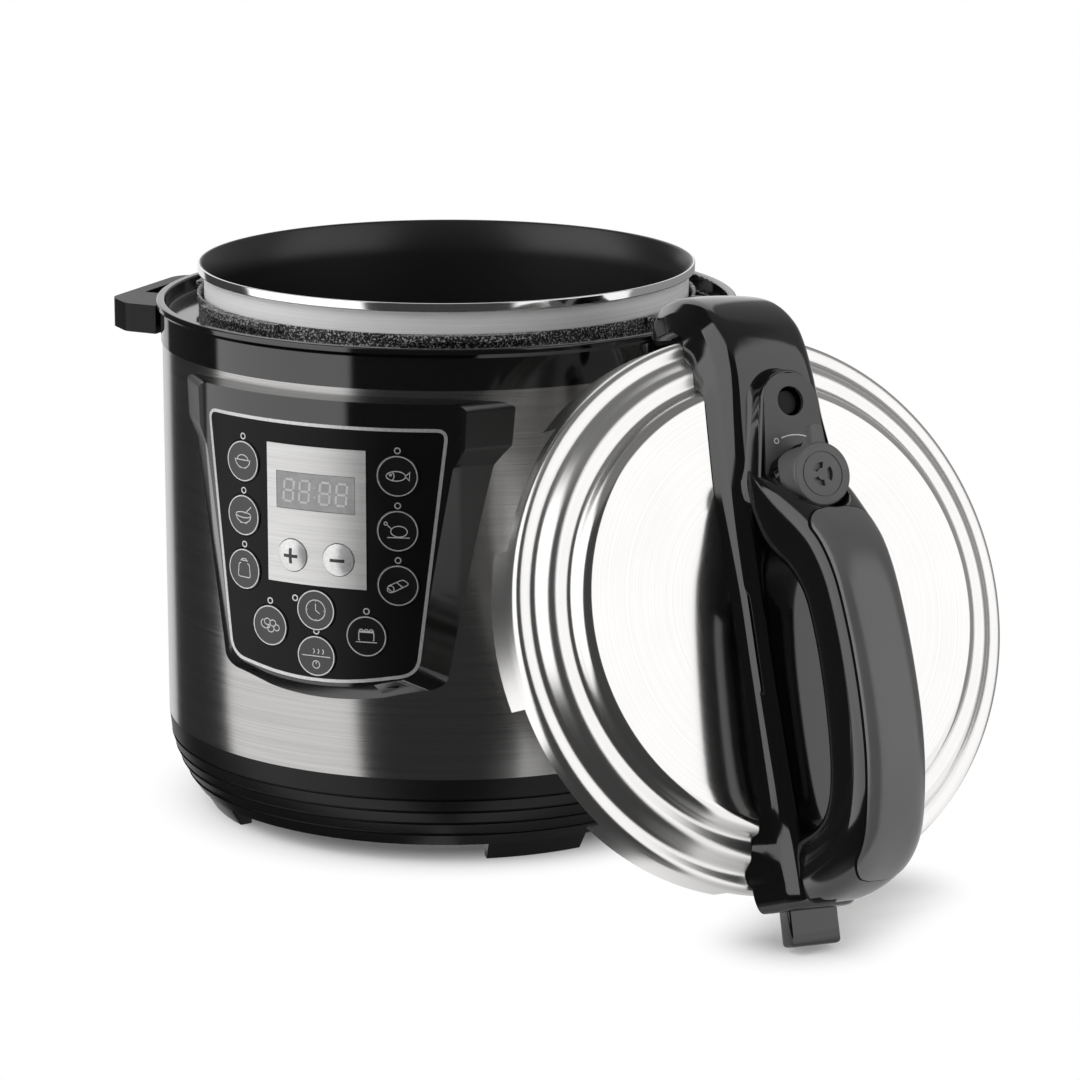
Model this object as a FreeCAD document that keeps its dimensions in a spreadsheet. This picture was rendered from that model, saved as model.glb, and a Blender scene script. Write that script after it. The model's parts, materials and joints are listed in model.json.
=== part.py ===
import FreeCAD, Part
import math
import operator
import os
import Sketcher

# Electric pressure cooker with its lid leaning beside it.
# The pot's axis is the Z axis, the floor is z = 0 and the control panel faces -Y.
# Lid pieces are drawn in the lid's own frame (x across the handle, y along it, z out of the lid).
doc = FreeCAD.newDocument("pressure_cooker")
sheet = doc.addObject("Spreadsheet::Sheet", "sizes")

# Driving sizes, in millimetres and degrees
cells = {
    # Inner pot, which sets the size of everything round it
    "pot_radius": 117.0,
    "pot_height": 166.0,
    "pot_wall": 2.0,
    "pot_corner": 22.0,
    "rim_lip": 3.0,
    "rim_radius": "=pot_radius + rim_lip",
    "rim_height": 3.7,
    "rim_edge": 1.8,
    "rim_under_edge": 0.8,
    "rim_inner_edge": 1.5,
    # Gaps that several pieces share
    "fit_gap": 0.2,
    "running_gap": 0.3,
    "overrun": 1.0,
    # Steel housing shell
    "housing_gap": 20.5,
    "shell_radius": "=pot_radius + housing_gap",
    "shell_wall": 0.8,
    "shell_spare": 18.0,
    "shell_height": "=pot_height + shell_spare",
    # Moulded base, its cover, feet and inlet
    "foot_height": 9.5,
    "base_height": 35.5,
    "shell_bottom": "=foot_height + base_height",
    "shell_top": "=shell_bottom + shell_height",
    "base_draw_in": 12.5,
    "base_bottom_radius": "=shell_radius - base_draw_in",
    "base_wall": 4.0,
    "base_floor": 3.0,
    "foot_inset": 1.2,
    "foot_width": 12.8,
    "foot_slope": 5.8,
    "foot_edge": 1.0,
    "foot_outer": "=base_bottom_radius - foot_inset",
    "foot_inner": "=foot_outer - foot_width",
    "foot_tip": "=foot_outer - foot_slope",
    "foot_span": 23.0,
    "foot_turn": 45.0,
    "groove_pitch": 6.3,
    "groove_count": 4,
    "groove_width": 1.2,
    "groove_depth": 1.0,
    "spigot_height": 6.0,
    "spigot_wall": 3.0,
    "cover_margin": 35.4,
    "cover_radius": "=base_bottom_radius - cover_margin",
    "cover_thickness": 1.5,
    "cover_ledge": 6.0,
    "vent_count": 20,
    "vent_start": 44.0,
    "vent_end": 74.0,
    "vent_width": 4.0,
    "vent_edge": 1.8,
    "screw_count": 4,
    "screw_radius": 1.6,
    "screw_head_radius": 3.4,
    "screw_head_height": 1.8,
    "screw_length": 5.0,
    "inlet_width": 28.0,
    "inlet_height": 21.0,
    "inlet_lift": 6.0,
    "inlet_bottom": "=foot_height + inlet_lift",
    "inlet_proud": 0.5,
    "inlet_front": "=shell_radius + inlet_proud",
    "inlet_depth": 24.0,
    "inlet_socket_width": 24.0,
    "inlet_socket_height": 16.0,
    "inlet_socket_depth": 16.0,
    "inlet_socket_edge": 2.0,
    "pin_width": 2.0,
    "pin_height": 4.5,
    "pin_length": 13.0,
    "pin_spread": 7.0,
    "pin_stagger": 2.0,
    # Upper ring with its trough
    "ring_proud": 0.7,
    "ring_radius": "=shell_radius + ring_proud",
    "ring_height": 19.6,
    "ring_top": "=shell_top + ring_height",
    "ring_wall": 3.0,
    "ring_edge": 1.0,
    "bead_proud": 2.0,
    "bead_radius": "=ring_radius + bead_proud",
    "bead_height": 2.6,
    "trough_depth": 7.6,
    "trough_floor": "=ring_top - trough_depth",
    "trough_edge": 1.5,
    # Side handles, with a slot that takes the lid's tab
    "grip_drop": 8.0,
    "grip_top": "=ring_top - grip_drop",
    "grip_height": 14.0,
    "grip_length": 28.3,
    "grip_reach": "=ring_radius + grip_length",
    "grip_half_width": 45.0,
    "grip_flare": 1.0,
    "grip_end": 14.0,
    "grip_corner": 12.0,
    "grip_side_round": 9.0,
    "grip_corner_round": 11.0,
    "grip_skin": 3.0,
    "tab_width": 25.8,
    "tab_thickness": 9.0,
    "tab_play": 3.2,
    "tab_clear": 6.0,
    "slot_length": "=tab_width + tab_play",
    "slot_width": "=tab_thickness + tab_clear",
    "slot_edge": 2.0,
    "slot_wall": 5.3,
    "slot_start": "=ring_radius + slot_wall",
    # Outer pot with its bayonet flange, heating plate and temperature sensor
    "pot_gap": 1.6,
    "outer_pot_wall": 1.2,
    "outer_pot_radius": "=pot_radius + pot_gap + outer_pot_wall",
    "outer_pot_corner": 20.0,
    "outer_pot_hole": 40.0,
    "flange_rise": 2.9,
    "flange_top": "=ring_top + flange_rise",
    "flange_thickness": 3.0,
    "flange_edge": 0.8,
    "flange_lip": 0.6,
    "flange_radius": "=outer_pot_radius + flange_lip",
    "tooth_reach": 4.5,
    "tooth_radius": "=outer_pot_radius + tooth_reach",
    "tooth_count": 6,
    "tooth_span": 30.0,
    "rim_stand": 14.5,
    "rim_top": "=flange_top + rim_stand",
    "pot_bottom": "=rim_top - pot_height",
    "plate_margin": 22.0,
    "plate_radius": "=pot_radius - plate_margin",
    "plate_thickness": 10.0,
    "plate_edge": 1.5,
    "plate_lift": 4.5,
    "plate_top": "=pot_bottom - running_gap",
    "plate_boss_inner": 62.0,
    "plate_boss_outer": 72.0,
    "outer_pot_floor": "=plate_top - plate_thickness - plate_lift - outer_pot_wall",
    "support_radius": 4.0,
    "support_inset": 0.8,
    "support_circle": "=outer_pot_radius - outer_pot_corner - support_radius - support_inset",
    "support_count": 3,
    "support_turn": 30.0,
    "sensor_radius": 14.2,
    "sensor_gap": 0.8,
    "sensor_cap": 3.0,
    "sensor_edge": 1.0,
    "sensor_stem": 5.0,
    "sensor_tail": 10.0,
    "bracket_length": 110.0,
    "bracket_width": 18.0,
    "bracket_thickness": 1.5,
    "bracket_edge": 4.0,
    "spring_outer": 8.0,
    "spring_inner": 6.0,
    # Circuit pieces
    "board_length": 90.0,
    "board_width": 50.0,
    "board_thickness": 1.6,
    "board_lift": 16.5,
    "board_height": "=foot_height + board_lift",
    "board_edge": 2.0,
    "relay_left": 12.0,
    "relay_length": 22.0,
    "relay_front": 6.0,
    "relay_width": 16.0,
    "relay_height": 15.0,
    "coil_left": -36.0,
    "coil_length": 28.0,
    "coil_front": -16.0,
    "coil_width": 26.0,
    "coil_height": 20.0,
    "capacitor_left": 14.0,
    "capacitor_length": 16.0,
    "capacitor_front": -18.0,
    "capacitor_width": 10.0,
    "capacitor_height": 12.0,
    "post_radius": 3.0,
    "post_inset": 6.0,
    "switch_length": 24.0,
    "switch_width": 13.0,
    "switch_height": 16.0,
    "switch_place": 58.0,
    "switch_edge": 1.5,
    # Control panel, with heights measured down from its top
    "panel_proud": 7.0,
    "panel_radius": "=shell_radius + panel_proud",
    "panel_skin": 2.5,
    "panel_overrun": 5.0,
    "panel_span": 110.0,
    "panel_set_back": 12.5,
    "panel_depth": "=shell_radius - panel_set_back",
    "panel_back": 20.0,
    "panel_side_draft": 0.85,
    "panel_low_draft": 0.6,
    "panel_dip_draft": 1.3,
    "panel_drop": 5.0,
    "panel_top": "=shell_top - panel_drop",
    "panel_top_half": 70.5,
    "panel_top_round": 4.0,
    "notch_drop": 21.0,
    "panel_notch": "=panel_top - notch_drop",
    "panel_notch_half": 70.0,
    "panel_notch_round": 6.0,
    "waist_drop": 30.0,
    "panel_waist": "=panel_top - waist_drop",
    "panel_waist_half": 67.2,
    "panel_waist_round": 8.0,
    "low_drop": 136.0,
    "panel_low": "=panel_top - low_drop",
    "panel_low_half": 57.0,
    "panel_corner": 12.0,
    "dip_drop": 165.2,
    "panel_dip": "=panel_top - dip_drop",
    "panel_dip_round": 80.0,
    "window_width": 40.0,
    "window_height": 17.5,
    "window_drop": 43.5,
    "window_middle": "=panel_top - window_drop",
    "window_border": 2.0,
    "window_thickness": 0.5,
    "display_drop": 22.1,
    "display_high": "=panel_top - display_drop",
    "display_height": 65.2,
    "display_low": "=display_high - display_height",
    "display_margin": 10.3,
    "display_width": "=window_width + display_margin",
    "display_thickness": 0.6,
    # Keys, and the space behind the panel that they press into
    "key_radius": 9.9,
    "small_key_radius": 7.6,
    "key_gap": 0.3,
    "key_lip": 1.0,
    "key_lip_height": 1.0,
    "key_seat_gap": 0.8,
    "key_proud": 0.5,
    "key_edge": 0.6,
    "key_travel": 0.7,
    "column_arc": 39.8,
    "column_drop": 33.3,
    "column_top": "=panel_top - column_drop",
    "key_spacing": 5.8,
    "column_pitch": "=key_radius * 2 + key_spacing",
    "pair_arc": 24.8,
    "pair_drop": 109.2,
    "pair_height": "=panel_top - pair_drop",
    "centre_high_drop": 98.9,
    "centre_high": "=panel_top - centre_high_drop",
    "centre_low_drop": 120.7,
    "centre_low": "=panel_top - centre_low_drop",
    "small_key_arc": 11.7,
    "small_key_drop": 74.0,
    "small_key_height": "=panel_top - small_key_drop",
    "cavity_margin": 3.5,
    "cavity_half": "=column_arc + key_radius + key_lip + cavity_margin",
    "cavity_low_half": "=pair_arc + key_radius + key_lip + cavity_margin",
    "cavity_high_drop": 17.0,
    "cavity_high": "=panel_top - cavity_high_drop",
    "cavity_mid_drop": 97.0,
    "cavity_mid": "=panel_top - cavity_mid_drop",
    "cavity_low_drop": 134.0,
    "cavity_low": "=panel_top - cavity_low_drop",
    "circuit_margin": 2.0,
    "circuit_thickness": 0.6,
    "module_depth": "=panel_proud - panel_skin - circuit_thickness",
    "dome_radius": 3.0,
    "dome_gap": 0.2,
    "key_room": "=panel_proud - panel_skin - key_seat_gap - key_lip_height",
    "dome_height": "=key_room - circuit_thickness - key_travel - dome_gap",
    # Lid shell, with bayonet tabs behind its rim
    "lid_wall": 1.2,
    "skirt_gap": 0.5,
    "lid_radius": "=tooth_radius + skirt_gap + lid_wall",
    "skirt_height": 22.5,
    "skirt_low": 12.6,
    "skirt_edge": 3.0,
    "shoulder_width": 7.5,
    "shoulder_inner": "=lid_radius - shoulder_width",
    "riser_foot": 2.0,
    "riser_run": 6.0,
    "step_height": 8.0,
    "step_width": 8.5,
    "step_edge": 2.5,
    "crown_riser": 3.0,
    "crown_edge": 3.0,
    "crown_height": 4.0,
    "crown_share": 0.75,
    "crown_radius": 60.0,
    "crown_round": 200.0,
    "lid_height": "=skirt_height + step_height * 2 + crown_height",
    "bayonet_span": 32.0,
    "lug_gap": 0.8,
    "lug_radius": "=flange_radius + lug_gap",
    "lug_bottom": 0.6,
    "lug_thickness": 2.2,
    "lug_span": 27.0,
    "seal_width": 18.0,
    "seal_inner": "=lid_radius - seal_width",
    "seal_lip": 1.4,
    "seal_leg": 8.3,
    "seal_depth": 10.0,
    "seal_slope": 3.0,
    "seal_dip": 2.0,
    "wire_radius": 1.5,
    # Lid handle: a bridge over the lid with a hooked nose, and an arched grip
    "bridge_bottom": 5.0,
    "bridge_rise": 7.0,
    "bridge_top": "=lid_height + bridge_rise",
    "shoulder_drop": 8.0,
    "bridge_edge": "=bridge_top - shoulder_drop",
    "bridge_half_width": 35.0,
    "bridge_draft": 6.0,
    "shoulder_draft": 35.0,
    "nose_reach": 23.0,
    "nose_end": "=lid_radius + nose_reach",
    "nose_half_width": 27.5,
    "nose_round": 12.0,
    "nose_taper": 107.0,
    "nose_bend": "=nose_end - nose_taper",
    "nose_bend_round": 400.0,
    "brow_inset": 16.0,
    "nose_brow": "=lid_radius - brow_inset",
    "cheek_inset": 2.0,
    "nose_cheek": "=lid_radius - cheek_inset",
    "cheek_drop": 5.5,
    "cheek_round": 40.0,
    "tip_reach": 15.0,
    "nose_tip": "=lid_radius + tip_reach",
    "tip_drop": 24.0,
    "tip_round": 40.0,
    "chin_reach": 22.0,
    "nose_chin": "=lid_radius + chin_reach",
    "chin_height": 4.0,
    "chin_round": 30.0,
    "hook_gap": 3.0,
    "hook_inner": "=lid_radius + hook_gap",
    "hook_half_width": 20.0,
    "hook_depth": 18.0,
    "heel_depth": 32.0,
    "heel_length": 8.0,
    "hook_length": 16.0,
    "hook_edge": 1.5,
    "hook_end": "=hook_inner + hook_length",
    "tail_reach": 7.0,
    "tail_end": "=lid_radius + tail_reach",
    "tail_half_width": 28.0,
    "tail_round": 10.0,
    "tail_taper": 33.0,
    "tail_bend": "=tail_end - tail_taper",
    "tail_bend_round": 30.0,
    "tab_reach": 23.4,
    "tab_end": "=lid_radius + tab_reach",
    "tab_root": 12.0,
    "tab_bottom": 24.0,
    "valve_inset": 73.3,
    "valve_place": "=lid_radius - valve_inset",
    "float_spread": 35.5,
    "float_place": "=valve_place + float_spread",
    "arch_half_width": 16.3,
    "arch_inset": 7.0,
    "arch_tail": "=tail_end - arch_inset",
    "arch_lean": 13.0,
    "arch_shoulder": "=arch_tail - arch_lean",
    "arch_leg": 29.0,
    "gap_tail": "=arch_tail - arch_leg",
    "gap_height": 36.5,
    "gap_top": "=bridge_top + gap_height",
    "gap_corner": 15.0,
    "arch_depth": 28.5,
    "arch_top": "=gap_top + arch_depth",
    "arch_tail_drop": 3.0,
    "arch_tail_round": 26.0,
    "arch_rise": 3.0,
    "arch_back_round": 260.0,
    "arch_front_drop": 6.0,
    "arch_front_round": 80.0,
    "foot_setback": 9.0,
    "arch_foot": "=valve_place - foot_setback",
    "front_slope": 34.0,
    "arch_front": "=arch_foot - front_slope",
    "front_leg": 22.0,
    "gap_front": "=arch_foot - front_leg",
    "arch_edge": 3.2,
    "head_height": 13.5,
    "head_top": "=bridge_top + head_height",
    "arch_step": 25.0,
    "knob_radius": 14.2,
    "dial_margin": 5.0,
    "dial_half_width": "=knob_radius + dial_margin",
    "head_margin": 5.3,
    "head_half_width": "=dial_half_width + head_margin",
    "head_bend_step": 10.0,
    "head_bend": "=valve_place + head_bend_step",
    "head_bend_round": 120.0,
    "head_toe_margin": 5.4,
    "head_toe_half_width": 12.5,
    "head_toe_round": 9.0,
    "head_draft": 6.0,
    "inlay_half_width": 12.6,
    "inlay_thickness": 2.0,
    "inlay_cut": 3.0,
    "inlay_run": 1.2,
    "inlay_tail_lean": 0.6,
    "inlay_front_lean": 0.4,
    "inlay_lift": 27.0,
    "inlay_tail": "=bridge_top + inlay_lift",
    "inlay_front": 20.0,
    # Valves
    "float_head": 5.6,
    "float_gap": 1.0,
    "float_hole": "=float_head + float_gap",
    "float_margin": 6.0,
    "dial_float_half_width": "=float_hole + float_margin",
    "head_toe": "=float_place + dial_float_half_width + head_toe_margin",
    "dial_thickness": 2.0,
    "dial_round": 0.9,
    "dial_straight": 0.995,
    "dial_length": "=dial_half_width + float_place - valve_place + dial_float_half_width",
    "dial_lean": "=(dial_half_width - dial_float_half_width) / dial_length",
    "dial_wide_round": "=min(dial_round; (sqrt(1 + dial_lean ^ 2) - dial_lean) * dial_straight)",
    "pipe_radius": 4.6,
    "pipe_bore": 2.0,
    "pipe_gap": 0.3,
    "pipe_edge": 1.0,
    "dial_play": 3.4,
    "dial_hole": "=pipe_radius + dial_play",
    "knob_gap": 1.2,
    "knob_bottom": "=head_top + knob_gap",
    "knob_height": 18.0,
    "knob_top": "=knob_bottom + knob_height",
    "knob_edge": 1.0,
    "knob_play": 0.7,
    "knob_bore": "=pipe_radius + knob_play",
    "well_gap": 3.3,
    "knob_well": "=knob_radius + well_gap",
    "vent_ring_inner": 2.6,
    "vent_ring_outer": 5.2,
    "vent_ring_span": 78.0,
    "vent_ring_count": 3,
    "vent_ring_depth": 1.6,
    "line_radius": 9.6,
    "line_width": 0.5,
    "line_depth": 0.4,
    "pointer_width": 6.0,
    "pointer_length": 7.8,
    "pointer_reach": "=knob_radius + pointer_length",
    "pointer_root": 3.0,
    "pointer_height": 4.0,
    "pointer_edge": 2.0,
    "pointer_drop": 1.0,
    "knob_cap": 7.0,
    "pipe_top": "=knob_top - knob_cap",
    "nut_width": 4.4,
    "nut_drop": 1.0,
    "pipe_nut_radius": "=pipe_radius + nut_width",
    "pipe_nut_height": 5.0,
    "strainer_margin": 7.0,
    "strainer_radius": "=pipe_nut_radius + strainer_margin",
    "strainer_depth": 9.0,
    "strainer_lip": 3.0,
    "strainer_wall": 1.0,
    "strainer_edge": 2.0,
    "float_stem": 3.2,
    "float_head_height": 2.0,
    "float_head_edge": 0.6,
    "float_drop": 4.0,
    "float_head_top": "=head_top - float_drop",
    "float_travel": 5.0,
    "float_clear": 1.0,
    "float_seal_radius": 6.0,
    "float_seal_height": 2.0,
    # Lid's place, on its tab with its heel on the right side handle
    "rest_inset": 14.7,
    "rest_x": "=grip_reach - rest_inset",
    "rest_y": -37.8,
    "rest_gap": 0.3,
    "lid_bearing": -36.9,
    "lid_spin": -3.9,
}


class Size:
    # A number together with the text that binds it to the sheet

    def __init__(self, value, text):
        self.value = float(value)
        self.text = text

    def __add__(self, other):
        return joined(self, other, "+", operator.add)

    def __radd__(self, other):
        return joined(other, self, "+", operator.add)

    def __sub__(self, other):
        return joined(self, other, "-", operator.sub)

    def __rsub__(self, other):
        return joined(other, self, "-", operator.sub)

    def __mul__(self, other):
        return joined(self, other, "*", operator.mul)

    def __rmul__(self, other):
        return joined(other, self, "*", operator.mul)

    def __truediv__(self, other):
        return joined(self, other, "/", operator.truediv)

    def __neg__(self):
        return joined(0, self, "-", operator.sub)


def as_size(number):
    if isinstance(number, Size):
        return number
    return Size(number, repr(float(number)))


def joined(left, right, sign, function):
    left = as_size(left)
    right = as_size(right)
    return Size(function(left.value, right.value), f"({left.text} {sign} {right.text})")


class Sizes:
    # One attribute for each named cell of the sheet

    def __init__(self):
        for row, (name, value) in enumerate(cells.items(), 1):
            sheet.set(f"A{row}", name)
            sheet.set(f"B{row}", str(value))
            sheet.setAlias(f"B{row}", name)
        doc.recompute()
        for name in cells:
            setattr(self, name, Size(sheet.get(name), f"sizes.{name}"))


d = Sizes()
nodes = []


def bind(thing, property_name, size):
    size = as_size(size)
    thing.setExpression(property_name, size.text)


def node(thing, name, placement=None):
    thing.Label = name
    if placement is not None:
        thing.Placement = placement
    nodes.append(thing)
    return thing


def new_body(name):
    return doc.addObject("PartDesign::Body", name)


def origin_feature(body, role):
    return next(feature for feature in body.Origin.OriginFeatures if feature.Role == role)


def new_sketch(body, role, offset=0):
    sketch = body.newObject("Sketcher::SketchObject", "outline")
    sketch.AttachmentSupport = [(origin_feature(body, role), "")]
    sketch.MapMode = "FlatFace"
    bind(sketch, "AttachmentOffset.Base.z", offset)
    return sketch


def place_point(limits, geometry, position, x, y):
    # Ties a point to the sketch's origin by its two distances
    for size, kind, axis in ((x, "DistanceX", -2), (y, "DistanceY", -1)):
        if size.value == 0:
            limits.append((Sketcher.Constraint("PointOnObject", geometry, position, axis), None))
        else:
            limits.append((Sketcher.Constraint(kind, -1, 1, geometry, position, size.value), size))


def apply_limits(sketch, limits):
    numbers = sketch.addConstraint([limit for limit, size in limits])
    for number, (limit, size) in zip(numbers, limits):
        if size is not None:
            bind(sketch, f"Constraints[{number}]", size)


def rounded(before, corner, after, radius):
    # Tangent points, centre and sense of the arc that rounds a corner
    to_before = (before - corner).normalize()
    to_after = (after - corner).normalize()
    half = to_before.getAngle(to_after) / 2
    reach = radius / math.tan(half)
    centre = corner + (to_before + to_after).normalize() * (radius / math.sin(half))
    start = corner + to_before * reach
    end = corner + to_after * reach
    turns_left = to_before.cross(to_after).z < 0
    return start, end, centre, turns_left


def draw(sketch, corners):
    # A closed outline through corners given as (x, y) or (x, y, rounding)
    corners = [tuple(as_size(value) for value in corner) for corner in corners]
    spots = [FreeCAD.Vector(corner[0].value, corner[1].value, 0) for corner in corners]
    count = len(corners)
    entries = list(spots)
    exits = list(spots)
    arcs = {}
    for number, corner in enumerate(corners):
        if len(corner) == 3:
            radius = corner[2].value
            after = spots[(number + 1) % count]
            start, end, centre, turns_left = rounded(spots[number - 1], spots[number], after, radius)
            entries[number] = start
            exits[number] = end
            first, last = (start, end) if turns_left else (end, start)
            angles = [math.atan2(spot.y - centre.y, spot.x - centre.x) for spot in (first, last)]
            circle = Part.Circle(centre, FreeCAD.Vector(0, 0, 1), radius)
            arcs[number] = (sketch.addGeometry(Part.ArcOfCircle(circle, *angles), False), turns_left)
    lines = []
    for number in range(count):
        segment = Part.LineSegment(exits[number], entries[(number + 1) % count])
        lines.append(sketch.addGeometry(segment, False))
    limits = []
    for number, corner in enumerate(corners):
        before = lines[number - 1]
        after = lines[number]
        if number in arcs:
            arc, turns_left = arcs[number]
            start, end = (1, 2) if turns_left else (2, 1)
            tip = sketch.addGeometry(Part.Point(spots[number]), True)
            limits.append((Sketcher.Constraint("Tangent", before, 2, arc, start), None))
            limits.append((Sketcher.Constraint("Tangent", after, 1, arc, end), None))
            limits.append((Sketcher.Constraint("PointOnObject", tip, 1, before), None))
            limits.append((Sketcher.Constraint("PointOnObject", tip, 1, after), None))
            limits.append((Sketcher.Constraint("Radius", arc, corner[2].value), corner[2]))
            place_point(limits, tip, 1, corner[0], corner[1])
        else:
            limits.append((Sketcher.Constraint("Coincident", before, 2, after, 1), None))
            place_point(limits, after, 1, corner[0], corner[1])
    apply_limits(sketch, limits)
    return sketch


def draw_circle(sketch, x, y, radius):
    x = as_size(x)
    y = as_size(y)
    centre = FreeCAD.Vector(x.value, y.value, 0)
    circle = sketch.addGeometry(Part.Circle(centre, FreeCAD.Vector(0, 0, 1), radius.value), False)
    limits = [(Sketcher.Constraint("Radius", circle, radius.value), radius)]
    place_point(limits, circle, 3, x, y)
    apply_limits(sketch, limits)
    return sketch


def rectangle(left, right, low, high, rounding=None):
    spots = [(left, low), (right, low), (right, high), (left, high)]
    if rounding is None:
        return spots
    return [spot + (rounding,) for spot in spots]


def mirrored(right_half):
    # An outline that is the same on both sides of x = 0, from its right half
    left_half = [(-corner[0],) + tuple(corner[1:]) for corner in reversed(right_half)]
    return right_half + [corner for corner in left_half if as_size(corner[0]).value != 0]


def revolve(body, corners, span=None, groove=False):
    sketch = draw(new_sketch(body, "XZ_Plane"), corners)
    feature = body.newObject("PartDesign::Groove" if groove else "PartDesign::Revolution", "turn")
    feature.Profile = sketch
    feature.ReferenceAxis = (sketch, ["V_Axis"])
    feature.Angle = 360
    if span is not None:
        feature.Midplane = True
        bind(feature, "Angle", span)
    return feature


def pad(body, sketch, length, symmetric=False, taper=None):
    feature = body.newObject("PartDesign::Pad", "pad")
    feature.Profile = sketch
    bind(feature, "Length", length)
    if symmetric:
        feature.SideType = "Symmetric"
    if taper is not None:
        bind(feature, "TaperAngle", taper)
    return feature


def pocket(body, sketch, length, symmetric=False, along_normal=False):
    # Cuts against the sketch's normal, along it, or to both sides
    feature = body.newObject("PartDesign::Pocket", "cut")
    feature.Profile = sketch
    bind(feature, "Length", length)
    feature.Reversed = along_normal
    if symmetric:
        feature.SideType = "Symmetric"
    return feature


def polar(body, features, count):
    pattern = body.newObject("PartDesign::PolarPattern", "ring_of")
    pattern.Originals = features
    pattern.Axis = (origin_feature(body, "Z_Axis"), [""])
    pattern.Angle = 360
    bind(pattern, "Occurrences", count)
    body.Tip = pattern
    return pattern


def boolean(kind, base, tool):
    result = doc.addObject("Part::" + kind, kind.lower())
    result.Base = base
    result.Tool = tool
    return result


def group(shapes):
    compound = doc.addObject("Part::Compound", "group")
    compound.Links = shapes
    return compound


def cylinder(radius, height, placement):
    rod = doc.addObject("Part::Cylinder", "rod")
    bind(rod, "Radius", radius)
    bind(rod, "Height", height)
    rod.Placement = placement
    return rod


def upright(x, y, z):
    return FreeCAD.Placement(FreeCAD.Vector(x, y, z), FreeCAD.Rotation())


def turned(angle):
    return FreeCAD.Placement(FreeCAD.Vector(), FreeCAD.Rotation(FreeCAD.Vector(0, 0, 1), angle))


def ring_spots(circle, count, first_angle=0.0):
    # Places spread evenly round the pot's axis
    whole = int(count.value)
    angles = [math.radians(first_angle + 360 * number / whole) for number in range(whole)]
    return [(circle.value * math.cos(angle), circle.value * math.sin(angle)) for angle in angles]


def radial(arc, height, radius):
    # Local z points out of the control panel at an arc length from its middle line
    angle = arc.value / d.panel_radius.value
    outward = FreeCAD.Vector(math.sin(angle), -math.cos(angle), 0)
    sideways = FreeCAD.Vector(math.cos(angle), math.sin(angle), 0)
    turn = FreeCAD.Rotation(sideways, FreeCAD.Vector(0, 0, 1), outward, "ZXY")
    return FreeCAD.Placement(outward * radius.value + FreeCAD.Vector(0, 0, height.value), turn)


def lid_pose():
    # The lid stands on its tab and leans back until its heel rests on the right side handle
    bearing = math.radians(d.lid_bearing.value)
    spin = math.radians(d.lid_spin.value)
    # The heel's corner seen from the tab's corner, along and behind the unspun lid
    step_across = d.hook_half_width.value - d.tab_width.value / 2
    step_along = d.hook_inner.value + d.tab_end.value
    along_lid = step_along * math.cos(spin) + step_across * math.sin(spin)
    behind = d.heel_depth.value + d.tab_bottom.value
    rest_height = d.grip_top.value + d.rest_gap.value
    lean = math.acos(rest_height / math.hypot(along_lid, behind)) - math.atan2(behind, along_lid)
    level = FreeCAD.Vector(-math.sin(bearing), math.cos(bearing), 0)
    back = math.sin(lean)
    slope = FreeCAD.Vector(-back * math.cos(bearing), -back * math.sin(bearing), math.cos(lean))
    across = level * math.cos(spin) + slope * math.sin(spin)
    along = slope * math.cos(spin) - level * math.sin(spin)
    outward = level.cross(slope)
    rest = FreeCAD.Vector(d.rest_x.value, d.rest_y.value, rest_height)
    spot = rest - across * d.hook_half_width.value - along * d.hook_inner.value
    spot += outward * d.heel_depth.value
    return FreeCAD.Placement(spot, FreeCAD.Rotation(across, along, outward, "ZXY"))


def housing_shell():
    body = new_body("shell")
    inside = d.shell_radius - d.shell_wall
    revolve(body, rectangle(inside, d.shell_radius, d.shell_bottom, d.shell_top))
    node(body, "housing_shell")


def base_outline():
    # The wall draws in towards the floor along a parabola, with a groove at each band
    corners = [(d.base_bottom_radius, d.foot_height)]
    for band in range(1, int(d.groove_count.value) + 1):
        middle = d.groove_pitch * band
        left = 1 - middle / d.base_height
        radius = d.shell_radius - d.base_draw_in * left * left
        low = d.foot_height + middle - d.groove_width / 2
        high = d.foot_height + middle + d.groove_width / 2
        corners.append((radius, low))
        corners.append((radius - d.groove_depth, low))
        corners.append((radius - d.groove_depth, high))
        corners.append((radius, high))
    corners.append((d.shell_radius, d.shell_bottom))
    return corners


def base():
    body = new_body("base")
    spigot = d.shell_radius - d.shell_wall - d.fit_gap
    spigot_top = d.shell_bottom + d.spigot_height
    floor_top = d.foot_height + d.base_floor
    ledge = d.foot_height + d.cover_thickness
    ledge_outer = d.cover_radius + d.fit_gap
    ledge_inner = ledge_outer - d.cover_ledge
    corners = base_outline()
    corners.append((spigot, d.shell_bottom))
    corners.append((spigot, spigot_top))
    corners.append((spigot - d.spigot_wall, spigot_top))
    corners.append((spigot - d.spigot_wall, d.shell_bottom - d.base_wall))
    corners.append((d.base_bottom_radius - d.base_wall, floor_top))
    corners.append((ledge_inner, floor_top))
    corners.append((ledge_inner, ledge))
    corners.append((ledge_outer, ledge))
    corners.append((ledge_outer, d.foot_height))
    revolve(body, corners)
    hole = new_sketch(body, "XY_Plane")
    draw_circle(hole, screw_circle(), 0, d.screw_radius)
    hole_cut = pocket(body, hole, floor_top, along_normal=True)
    polar(body, [hole_cut], d.screw_count)
    half = d.inlet_width / 2
    opening = new_sketch(body, "XZ_Plane")
    draw(opening, rectangle(-half, half, d.inlet_bottom, d.inlet_bottom + d.inlet_height))
    body.Tip = pocket(body, opening, d.shell_radius)
    node(body, "base")


def screw_circle():
    return d.cover_radius - d.cover_ledge / 2


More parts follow.
